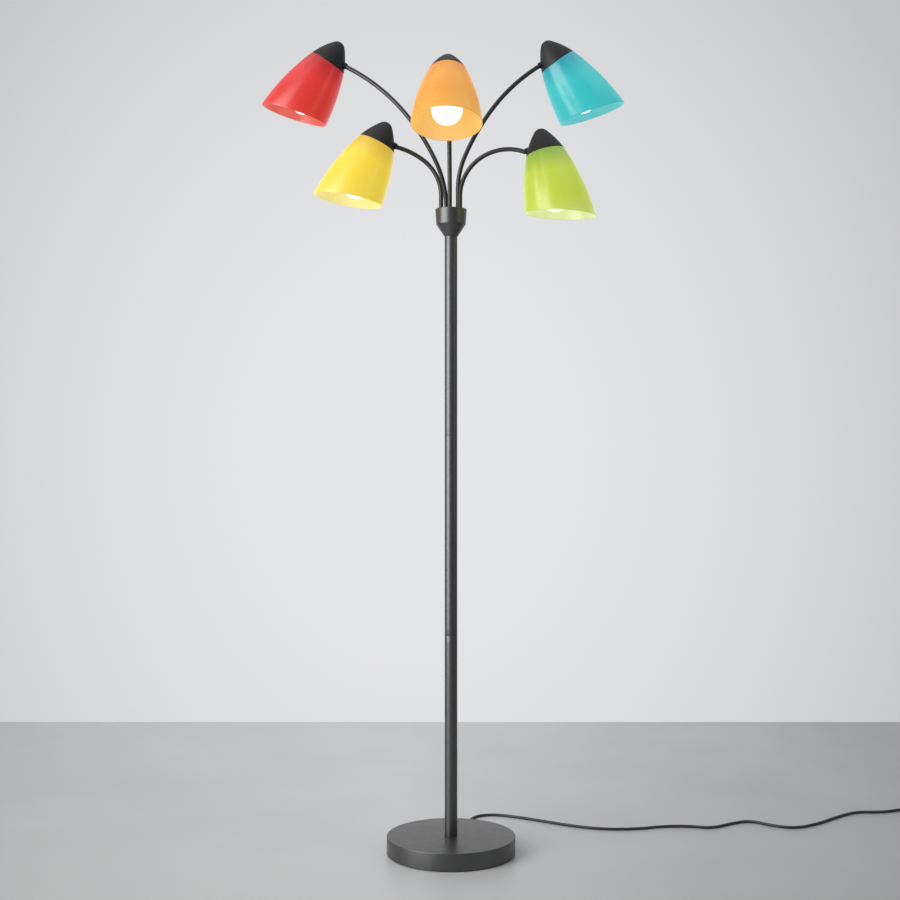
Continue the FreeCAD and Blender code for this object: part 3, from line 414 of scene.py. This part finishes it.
def fillet(corners, steps=5):
    """Polyline in (radius, height); a third number rounds that corner with that radius."""
    points = []
    count = len(corners)
    for i, corner in enumerate(corners):
        here = Vector(corner[:2])
        if len(corner) < 3:
            points.append(here)
            continue
        before = Vector(corners[i - 1][:2]) - here
        after = Vector(corners[(i + 1) % count][:2]) - here
        half = before.angle(after) / 2
        setback = corner[2] / math.tan(half)
        middle = here + (before.normalized() + after.normalized()).normalized() * (corner[2] / math.sin(half))
        start = here + before.normalized() * setback - middle
        turn = start.angle_signed(here + after.normalized() * setback - middle)
        for k in range(steps + 1):
            angle = -turn * k / steps
            x = start.x * math.cos(angle) - start.y * math.sin(angle)
            y = start.x * math.sin(angle) + start.y * math.cos(angle)
            points.append(middle + Vector((x, y)))
    return points


def add_lathe(b, profile, segments, wobble=None):
    """Turns (radius, height) points, in millimetres, round Z. A radius of 0 becomes one vertex.

    The profile closes on itself unless one of its ends lies on the axis."""
    rings = []
    for k, (radius, height) in enumerate(profile):
        if radius < 1e-6:
            rings.append([b.verts.new((0, 0, height * MM))])
            continue
        ring = []
        for i in range(segments):
            angle = 2 * math.pi * i / segments
            reach = radius + (wobble(k, angle) if wobble else 0.0)
            spot = (reach * math.cos(angle) * MM, reach * math.sin(angle) * MM, height * MM)
            ring.append(b.verts.new(spot))
        rings.append(ring)
    pairs = list(zip(rings, rings[1:]))
    if len(rings[0]) > 1 and len(rings[-1]) > 1:
        pairs.append((rings[-1], rings[0]))
    for low, high in pairs:
        for i in range(segments):
            j = (i + 1) % segments
            if len(low) == 1 and len(high) == 1:
                break
            if len(low) == 1:
                b.faces.new((low[0], high[i], high[j]))
            elif len(high) == 1:
                b.faces.new((low[i], high[0], low[j]))
            else:
                b.faces.new((low[i], high[i], high[j], low[j]))


def finish_mesh(b, name):
    bmesh.ops.recalc_face_normals(b, faces=b.faces)
    mesh = bpy.data.meshes.new(name)
    b.to_mesh(mesh)
    b.free()
    return mesh


def lathe(name, profile, material, place=None, segments=96, wobble=None, sharp=35.0):
    b = bmesh.new()
    add_lathe(b, profile, segments, wobble=wobble)
    return add_object(name, finish_mesh(b, name), material, place, sharp)


def add_tube(b, points, radii, segments):
    """Closed tube along points, in millimetres, with a radius at each."""
    rings = []
    side = None
    for k, point in enumerate(points):
        ahead = (points[min(k + 1, len(points) - 1)] - points[max(k - 1, 0)]).normalized()
        if side is None:
            side = ahead.orthogonal().normalized()
        side = (side - ahead * side.dot(ahead)).normalized()
        other = ahead.cross(side)
        ring = []
        for i in range(segments):
            angle = 2 * math.pi * i / segments
            out = side * math.cos(angle) + other * math.sin(angle)
            ring.append(b.verts.new((point + out * radii[k]) * MM))
        rings.append(ring)
    for low, high in zip(rings, rings[1:]):
        for i in range(segments):
            j = (i + 1) % segments
            b.faces.new((low[i], low[j], high[j], high[i]))
    b.faces.new(rings[0])
    b.faces.new(rings[-1])


def dress(piece, body, slot, *nodes):
    """Says which body a piece rides on and hides the CAD nodes that it stands for. The slot argument is not
    used.
    """
    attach(piece, body)
    if nodes:
        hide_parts(*nodes)
    return piece


# ---------------------------------------------------------------- cords


def add_cord(name, points, material):
    curve = bpy.data.curves.new(name, "CURVE")
    curve.dimensions = "3D"
    curve.bevel_depth = CORD_DIAMETER / 2 * MM
    curve.bevel_resolution = 5
    curve.resolution_u = 10
    curve.use_fill_caps = True
    spline = curve.splines.new("NURBS")
    spline.points.add(len(points) - 1)
    for spot, point in zip(spline.points, points):
        spot.co = (*(Vector(point) * MM), 1)
    spline.order_u = 3
    spline.use_endpoint_u = True
    curve.materials.append(material)
    made = bpy.data.objects.new(name, curve)
    bpy.context.scene.collection.objects.link(made)
    return made


def exit_point():
    angle = math.radians(EXIT_ANGLE)
    return Vector((RELIEF_TIP * math.cos(angle), RELIEF_TIP * math.sin(angle), EXIT_HEIGHT))


def coil_points():
    """The coil's route: from the switch, in a spiral to the middle, up a layer and out again, to the plug."""
    face = Vector(CORD_ROUTE[-1])
    start = face + Vector((2 * (SWITCH_RADIUS + SWITCH_BOSS), 0, 0))
    level = CORD_DIAMETER / 2
    centre = Vector((start.x + COIL_LEAD, start.y - COIL_RADIUS, 0))
    points = [start, start + Vector((9, 0, 0)), start + Vector((20, 0, -1.8)), start + Vector((32, 0, -4.8))]
    turning = (COIL_CLIMB[0] + COIL_CLIMB[1]) / 2
    spread = 1 / math.cos(math.pi / 4 / COIL_POINTS_PER_QUARTER)
    for k in range(COIL_QUARTERS * COIL_POINTS_PER_QUARTER + 1):
        quarter = k / COIL_POINTS_PER_QUARTER
        radius = COIL_RADIUS - COIL_PITCH / 4 * min(quarter, 2 * turning - quarter)
        if 0 < k < COIL_QUARTERS * COIL_POINTS_PER_QUARTER:
            radius *= spread
        angle = math.radians(90 - 90 * quarter)
        climb = min(max((quarter - COIL_CLIMB[0]) / (COIL_CLIMB[1] - COIL_CLIMB[0]), 0), 1)
        height = level + COIL_RISE * climb
        points.append(centre + Vector((radius * math.cos(angle), radius * math.sin(angle), height)))
    last = points[-1].copy()
    points += [last + Vector((-COIL_TAIL * share, 0, 0)) for share in (0.25, 0.6, 1.0)]
    return points


def make_cords():
    run = add_cord("mains_cord", [exit_point(), *CORD_ROUTE], CORD_PVC)
    dress(run, "lamp", "cord_black", "cord_run")
    coil = add_cord("mains_cord_coil", coil_points(), CORD_PVC)
    dress(coil, "lamp", "cord_black", "cord_coil")
    return run, coil


cord_run, cord_coil = make_cords()


# ---------------------------------------------------------------- base, pole and hub


def make_base():
    edge = BASE_RADIUS
    top = BASE_HEIGHT
    cover = fillet(
        [
            (NIPPLE_HOLE, top),
            (edge, top, 1.3),
            (edge, PAD_THICKNESS, 0.6),
            (edge - COVER_WALL, PAD_THICKNESS),
            (edge - COVER_WALL, top - COVER_WALL),
            (NIPPLE_HOLE, top - COVER_WALL),
        ],
        7,
    )
    skin = lathe("base_cover_skin", cover, BLACK, segments=256)
    dress(skin, "lamp", "black_metal", "base_cover")
    pad = fillet(
        [(0, 0), (PAD_RADIUS, 0, 0.7), (PAD_RADIUS, PAD_THICKNESS, 0.4), (0, PAD_THICKNESS)],
        4,
    )
    skin = lathe("base_pad_skin", pad, RUBBER, segments=160)
    dress(skin, "lamp", "rubber_pad", "base_pad")


def make_pole():
    inner = POLE_RADIUS - POLE_WALL
    for k, label in enumerate(("lower", "middle", "upper")):
        foot = BASE_HEIGHT + POLE_SECTION * k
        head = foot + POLE_SECTION
        wall = fillet(
            [(POLE_RADIUS, foot, 0.12), (POLE_RADIUS, head, 0.12), (inner, head), (inner, foot)],
            3,
        )
        # more rings along the tube keep its shading even
        rings = []
        for start, end in zip(wall, wall[1:] + wall[:1]):
            parts = 24 if (end - start).length > 100 else 1
            rings += [start.lerp(end, j / parts) for j in range(parts)]
        tube = lathe(f"pole_{label}_tube", rings, BLACK, segments=96)
        dress(tube, "lamp", "black_metal", f"pole_{label}")


def make_hub():
    foot, rim = POLE_TOP, HUB_RIM
    cup = fillet(
        [
            (NIPPLE_HOLE, foot),
            (13.5, foot, 0.5),
            (29.5, foot + 24.0, 1.6),
            (31.5, rim, 0.9),
            (28.6, rim, 0.5),
            (28.6, rim - 12.0),
            (26.6, rim - 12.0),
            (26.6, foot + 25.8),
            (13.8, foot + 4.5),
            (NIPPLE_HOLE, foot + 4.5),
        ],
        6,
    )
    dress(lathe("hub_cup_skin", cup, BLACK, segments=160), "lamp", "black_metal", "hub_cup")


make_base()
make_pole()
make_hub()


# ---------------------------------------------------------------- arms


def lean_direction(arm, degrees):
    heading = math.radians(arm["heading"])
    lean = math.radians(degrees)
    outward = Vector((math.cos(heading), math.sin(heading), 0))
    return outward * math.sin(lean) + UP * math.cos(lean)


def neck_line(arm):
    """Centreline points in millimetres, and the index at which each link starts."""
    angle = math.radians(arm["root"])
    foot = Vector((NECK_RING * math.cos(angle), NECK_RING * math.sin(angle), HUB_RIM - 9.0))
    point = Vector((foot.x, foot.y, HUB_RIM + arm["stub"]))
    count = max(2, round((point.z - foot.z) / NECK_STEP))
    points = [foot.lerp(point, k / count) for k in range(count)]
    joints = []
    lean = 0.0
    for length, turn in zip(arm["links"], arm["turns"]):
        joints.append(len(points))
        radius = length / math.radians(turn)
        centre = point + lean_direction(arm, lean + 90) * radius
        count = round(length / NECK_STEP)
        points += [
            centre - lean_direction(arm, lean + turn * k / count + 90) * radius for k in range(count)
        ]
        lean += turn
        point = centre - lean_direction(arm, lean + 90) * radius
    points.append(point)
    return points, joints


def neck_skin(name, points, material, ball=False):
    """A finely grooved tube; the one that carries a head ends in a rounded tip."""
    b = bmesh.new()
    radii = [NECK_RADIUS - (NECK_GROOVE, 0.0)[k % 2] for k in range(len(points))]
    line = list(points)
    if ball:
        ahead = (line[-1] - line[-2]).normalized()
        end = line[-1]
        for k in range(1, 7):
            angle = math.pi / 2 * k / 6.5
            line.append(end + ahead * NECK_RADIUS * math.sin(angle))
            radii.append(NECK_RADIUS * math.cos(angle))
    add_tube(b, line, radii, 28)
    return add_object(name, finish_mesh(b, name), material, sharp=60.0)


def make_neck(label, arm):
    """The neck in one skin for each bend, cut midway between bends."""
    points, joints = neck_line(arm)
    names = LINK_NAMES[len(arm["links"])]
    bodies = [f"{label}_{name}" for name in names]
    nodes = [f"{label}_neck_{name}" for name in names]
    bends = joints[1:]
    cuts = [0] + [(a + b) // 2 for a, b in zip(bends, bends[1:])] + [len(points) - 1]
    for k, bend in enumerate(bends):
        piece = neck_skin(
            f"{label}_neck_{k + 1}",
            points[cuts[k] : cuts[k + 1] + 1],
            NECK_BLACK,
            ball=k == len(bends) - 1,
        )
        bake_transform(piece)
        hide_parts(*(nodes[:2] if k == 0 else nodes[k + 1 : k + 2]))
    foot = points[0]
    ring = fillet([(4.3, 5.4), (6.1, 5.4, 0.5), (6.1, 7.8, 0.7), (4.3, 7.8)], 4)
    collar = lathe(f"{label}_neck_shoulder", ring, BLACK, Matrix.Translation(foot * MM), 48)
    dress(collar, bodies[0], "black_metal")
    return points[-1]


# ---------------------------------------------------------------- heads


def head_place(arm, knuckle):
    tilt = arm["tilt"]
    down = lean_direction(arm, 180 - tilt)
    out = lean_direction(arm, 90 - tilt)
    apex = knuckle - down * COLLAR_DISTANCE + out * COLLAR_REACH
    across = out.cross(down)
    turn = Matrix((out, across, -down)).transposed().to_4x4()
    return Matrix.Translation(apex * MM) @ turn


def cap_profile(shrink, steps=22):
    """The cap's outline from its apex to its rim: a small nose arc, then one long arc."""
    slope = math.radians(CAP_SLOPE)
    reach = CAP_LENGTH - CAP_NOSE
    top = reach**2 + CAP_RIM**2 - CAP_NOSE**2
    side = top / (2 * CAP_RIM * math.cos(slope) - 2 * reach * math.sin(slope) - 2 * CAP_NOSE)
    centre = Vector((CAP_RIM - side * math.cos(slope), CAP_LENGTH + side * math.sin(slope)))
    unit = (Vector((0, CAP_NOSE)) - centre) / (side - CAP_NOSE)
    full = math.atan2(unit.x, -unit.y)
    nose = CAP_NOSE - shrink
    points = [(0.0, -shrink)]
    for k in range(1, 10):
        angle = full * k / 10
        points.append((nose * math.sin(angle), -(CAP_NOSE - nose * math.cos(angle))))
    long_arc = side - shrink
    first = math.atan2(-unit.y, unit.x)
    last = math.asin((centre.y - CAP_LENGTH) / long_arc)
    for k in range(steps + 1):
        angle = first + (last - first) * k / steps
        points.append((centre.x + long_arc * math.cos(angle), -(centre.y - long_arc * math.sin(angle))))
    return points


def make_cap(label, place):
    b = bmesh.new()
    outer = cap_profile(0.0)
    inner = cap_profile(CAP_WALL)
    rim_out, rim_in = outer[-1], inner[-1]
    lip = [(rim_out[0] - 0.12, rim_out[1]), ((rim_out[0] + rim_in[0]) / 2, rim_out[1])]
    add_lathe(b, outer[:-1] + [(rim_out[0], rim_out[1] + 0.35)] + lip + inner[::-1], 144)
    # collar for the neck, drawn out of the cap's wall
    turn = Matrix.Translation((0, 0, -COLLAR_DISTANCE * MM)) @ Matrix.Rotation(-math.pi / 2, 4, "Y")
    c = bmesh.new()
    collar = fillet(
        [(4.75, 26.0), (7.6, 26.0), (6.2, 30.2, 3.0), (6.2, 37.0, 0.6), (4.75, 37.0, 0.3)],
        6,
    )
    add_lathe(c, collar, 64)
    c.transform(turn)
    spare = finish_mesh(c, "collar")
    b.from_mesh(spare)
    bpy.data.meshes.remove(spare)
    cap = add_object(f"{label}_cap_skin", finish_mesh(b, "cap"), CAP_BLACK, place, 50.0)
    dress(cap, f"{label}_head", "black_metal", f"{label}_cap")


def shade_radius(depth, wall=0.0):
    """Radius of the shade at a depth: one shallow arc from the cap's rim to the mouth."""
    first, last = Vector((CAP_RIM, CAP_LENGTH)), Vector((SHADE_MOUTH, SHADE_END))
    chord = last - first
    normal = Vector((-chord.y, chord.x)).normalized()
    centre = (first + last) / 2 + normal * math.sqrt(SHADE_BULGE**2 - chord.length_squared / 4)
    return centre.x + math.sqrt((SHADE_BULGE - wall) ** 2 - (depth - centre.y) ** 2)


def mouth_depth(angle):
    depth = (SHADE_LONG + SHADE_SHORT) / 2
    for _ in range(6):
        slant = (SHADE_LONG - SHADE_SHORT) / 2 / SHADE_MOUTH
        depth = (SHADE_LONG + SHADE_SHORT) / 2 + slant * shade_radius(depth) * math.cos(angle)
    return depth


def make_shade(label, place, segments=168, rows=40):
    """A thin shell with a slanted, rounded lip and a flat web at its top, open for the lamp holder."""
    b = bmesh.new()
    top = CAP_LENGTH + 0.15
    inner_top = CAP_LENGTH + SHADE_WALL
    columns = []
    for i in range(segments):
        angle = 2 * math.pi * i / segments
        end = mouth_depth(angle)
        line = [(SHADE_HOLE, top), (CAP_RIM - 1.0, top), (CAP_RIM - 0.3, top + 0.25)]
        line += [
            (shade_radius(d), d)
            for d in (top + 0.9 + (end - 1.0 - top - 0.9) * k / rows for k in range(rows + 1))
        ]
        middle = shade_radius(end - 1.0) - SHADE_WALL / 2
        for k in range(1, 6):
            turn = math.pi * k / 6
            line.append((middle + SHADE_WALL / 2 * math.cos(turn), end - 1.0 + 1.0 * math.sin(turn)))
        line += [
            (shade_radius(d, SHADE_WALL), d)
            for d in (end - 1.0 + (inner_top + 1.2 - end + 1.0) * k / rows for k in range(rows + 1))
        ]
        inner_rim = CAP_RIM - SHADE_WALL
        line += [(inner_rim - 1.0, inner_top + 0.2), (inner_rim - 2.2, inner_top)]
        line += [(SHADE_HOLE, inner_top)]
        columns.append(
            [b.verts.new((r * math.cos(angle) * MM, r * math.sin(angle) * MM, -d * MM)) for r, d in line]
        )
    for i in range(segments):
        here, there = columns[i], columns[(i + 1) % segments]
        for k in range(len(here)):
            n = (k + 1) % len(here)
            b.faces.new((here[k], here[n], there[n], there[k]))
    shade = add_object(f"{label}_shade_skin", finish_mesh(b, "shade"), SHADES[label], place, 60.0)
    dress(shade, f"{label}_head", f"shade_{label}", f"{label}_shade")


def make_holder(label, place):
    """Lamp holder: stem, shell and a threaded barrel that carries the ribbed shade ring."""
    thread = []
    for k in range(THREAD_TURNS):
        depth = 61.5 + 20.5 * k / THREAD_TURNS
        for radius, lower in ((19.35, 0.0), (20.0, 0.55), (20.0, 0.95), (19.35, 1.45)):
            thread.append((radius, -(depth + lower)))
    stem = [(0, -4.6), (5.0, -4.6), (5.0, -26.0)]
    body = fillet([*stem, (17.0, -26.0, 1.5), (17.0, -45.3), (24.0, -45.3, 0.6)], 4)
    body += fillet([(24.0, -48.0), (20.0, -48.2)], 1) + [(20.0, -61.0)] + thread
    body += fillet([(19.6, -83.2), (19.4, -84.3, 0.5), (14.2, -84.3, 0.8), (13.6, -83.0)], 4)
    body += [(13.6, -59.5), (0, -59.5)]
    holder = lathe(f"{label}_holder", body, BLACK_PLASTIC, place, 96)
    dress(holder, f"{label}_head", "black_plastic", f"{label}_socket")

    profile = fillet(
        [(20.1, -50.4), (24.9, -50.4, 0.7), (24.9, -58.2, 0.9), (20.1, -58.2, 0.5)],
        4,
    )

    def grip(k, angle):
        if profile[k].x < 23.5:
            return 0.0
        return -RING_RIB_DEPTH * max(0.0, math.cos(RING_RIBS * angle)) ** 3

    ring = lathe(f"{label}_ring_skin", profile, BLACK_PLASTIC, place, 240, wobble=grip)
    dress(ring, f"{label}_head", "black_plastic", f"{label}_shade_ring")


def make_bulb(label, place):
    """Globe bulb: a flared neck that swells into a round crown."""
    centre = BULB_TIP - BULB_GLOBE
    base = [(0, 0), (6.0, 0), (12.9, 2.0), (12.9, 24.0), (15.2, 25.0)]
    outer = [(radius, -(BULB_FOOT + lower)) for radius, lower in base]
    joint = math.radians(24)
    # an S-shaped flank: leaves the collar straight and meets the globe tangent to it
    p0 = Vector((BULB_NECK, BULB_FOOT + 27.0))
    p3 = Vector((BULB_GLOBE * math.cos(joint), centre - BULB_GLOBE * math.sin(joint)))
    p1 = p0 + Vector((0.6, 13.0))
    p2 = p3 - Vector((math.sin(joint), math.cos(joint))) * 14.0
    for k in range(15):
        u = k / 15
        p = p0 * (1 - u) ** 3 + p1 * 3 * u * (1 - u) ** 2 + p2 * 3 * u * u * (1 - u) + p3 * u**3
        outer.append((p.x, -p.y))
    for k in range(24):
        angle = -joint + (math.pi / 2 + joint) * k / 24
        outer.append((BULB_GLOBE * math.cos(angle), -(centre + BULB_GLOBE * math.sin(angle))))
    outer.append((0.0, -BULB_TIP))
    bulb = lathe(f"{label}_bulb_globe", outer, OPAL, place, 96, sharp=40.0)
    dress(bulb, f"{label}_head", "bulb_opal", f"{label}_bulb")


for arm_name, arm_sizes in ARMS.items():
    arm_end = make_neck(arm_name, arm_sizes)
    arm_place = head_place(arm_sizes, arm_end)
    make_cap(arm_name, arm_place)
    make_shade(arm_name, arm_place)
    make_holder(arm_name, arm_place)
    make_bulb(arm_name, arm_place)


# ---------------------------------------------------------------- carried-over CAD nodes

# these show their CAD solids as they are
CAD_MATERIALS = {
    "base_weight": IRON,
    "base_plate": BLACK,
    "base_screws": ZINC,
    "cord_strain_relief": RUBBER,
    "threaded_nipples": ZINC,
    "lock_nuts": ZINC,
    "pole_inserts": ZINC,
    "hub_plate": BLACK,
    "neck_nuts": BLACK,
    "terminal_block": WHITE_PLASTIC,
    "inner_cable": CORD_PVC,
    "switch_body": BLACK_PLASTIC,
    "switch_button": BLACK_PLASTIC,
    "plug_body": BLACK_PLASTIC,
    "plug_blades": BRASS,
}
for node_name, node_material in CAD_MATERIALS.items():
    node_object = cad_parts[node_name]
    node_object.data.materials.clear()
    node_object.data.materials.append(node_material)


# ---------------------------------------------------------------- studio


WALL_DEPTH = 1.319
WALL_HEIGHT = 6
ROOM = 7


def plane(name, corners, material):
    mesh = bpy.data.meshes.new(name)
    mesh.from_pydata(corners, [], [(0, 1, 2, 3)])
    made = add_object(name, mesh, material)
    return made


def wall_paint():
    """Pale wall: a plain diffuse surface for bounced light; camera, gloss and clear rays see an emitted tone
    with painted light, brightest a little left of the middle at 0.8 m high and darker towards its edges.
    """
    n = Nodes("wall_paint")
    across = n.math("ADD", n.axis(0), 0.12)
    high = n.math("SUBTRACT", n.axis(2), 0.8)
    # painted light: a pool that falls off with distance from a spot just left of the lamp
    painted_falloff = n.math("MULTIPLY", across, across)
    painted_falloff = n.math("ADD", painted_falloff, n.math("MULTIPLY", n.math("MULTIPLY", high, high), 0.68))
    tone = n.ramp(n.remap(painted_falloff, 0.0, 3.0), [(0.0, (0.79, 0.793, 0.808)), (1.0, (0.538, 0.541, 0.556))])
    plain = n.add("ShaderNodeBsdfDiffuse")
    plain.inputs["Color"].default_value = (0.75, 0.75, 0.76, 1)
    seen = n.add("ShaderNodeEmission")
    n.link(tone, seen.inputs["Color"])
    rays = n.add("ShaderNodeLightPath")
    pick = n.math("MAXIMUM", rays.outputs["Is Camera Ray"], rays.outputs["Is Glossy Ray"])
    pick = n.math("MAXIMUM", pick, rays.outputs["Is Transmission Ray"])
    both = n.add("ShaderNodeMixShader")
    n.link(pick, both.inputs[0])
    n.link(plain.outputs[0], both.inputs[1])
    n.link(seen.outputs[0], both.inputs[2])
    # clear from behind, so that it never stands between the lamp and a view of its back
    clear = n.add("ShaderNodeBsdfTransparent")
    side = n.add("ShaderNodeMixShader")
    n.link(n.add("ShaderNodeNewGeometry").outputs["Backfacing"], side.inputs[0])
    n.link(both.outputs[0], side.inputs[1])
    n.link(clear.outputs[0], side.inputs[2])
    n.link(side.outputs[0], n.output.inputs["Surface"])
    return n.material


def floor_paint():
    """Pale grey floor with a soft sheen and painted light: a little darker at its sides and nearest the
    viewer, brightest in the middle further back.
    """
    n = Nodes("floor_paint")
    cloud = n.noise(1.6, 5.0)
    across = n.remap(n.axis(0), -1.6, 1.9)
    # painted light: a pool round the lamp, weaker nearest the viewer and stronger towards the wall
    near_painted_light = n.ramp(across, [(0.15, (0.26,) * 3), (0.42, (0.45,) * 3), (0.8, (0.28,) * 3)])
    far_painted_light = n.ramp(across, [(0.05, (0.44,) * 3), (0.42, (0.62,) * 3), (0.9, (0.42,) * 3)])
    tone = n.mix(n.remap(n.axis(1), -0.3, WALL_DEPTH), near_painted_light, far_painted_light)
    tone = n.mix(n.remap(cloud, 0.35, 0.65, 0.0, 0.12), tone, (0.36, 0.36, 0.365))
    shine = n.remap(n.noise(3.0, 4.0), 0.3, 0.7, 0.3, 0.42)
    n.principled(Base_Color=tone, Roughness=shine, IOR=1.4)
    return n.material


plane(
    "floor",
    [(-ROOM, -6, 0), (ROOM, -6, 0), (ROOM, ROOM, 0), (-ROOM, ROOM, 0)],
    floor_paint(),
)
plane(
    "wall",
    [
        (-ROOM, WALL_DEPTH, 0),
        (ROOM, WALL_DEPTH, 0),
        (ROOM, WALL_DEPTH, WALL_HEIGHT),
        (-ROOM, WALL_DEPTH, WALL_HEIGHT),
    ],
    wall_paint(),
)


def area_light(name, place, target, size, power):
    data = bpy.data.lights.new(name, "AREA")
    data.shape = "RECTANGLE"
    data.size, data.size_y = size
    data.energy = power
    lamp = bpy.data.objects.new(name, data)
    lamp.location = place
    lamp.rotation_euler = (Vector(target) - Vector(place)).to_track_quat("-Z", "Y").to_euler()
    bpy.context.scene.collection.objects.link(lamp)


area_light("key_left", (-1.8, -1.22, 1.55), (0, 0, 1.4), (2.0, 2.8), 92)
area_light("overhead", (0.2, -0.6, 3.9), (0.2, -0.5, 0), (5.0, 3.4), 42)
area_light("edge_right", (2.0, -1.1, 1.2), (0, 0, 1.0), (0.3, 1.9), 3.2)

world = bpy.data.worlds.new("studio")
world.use_nodes = True
sky = world.node_tree.nodes["Background"]
sky.inputs["Color"].default_value = (0.9, 0.94, 1.0, 1)
sky.inputs["Strength"].default_value = 0.27
bpy.context.scene.world = world
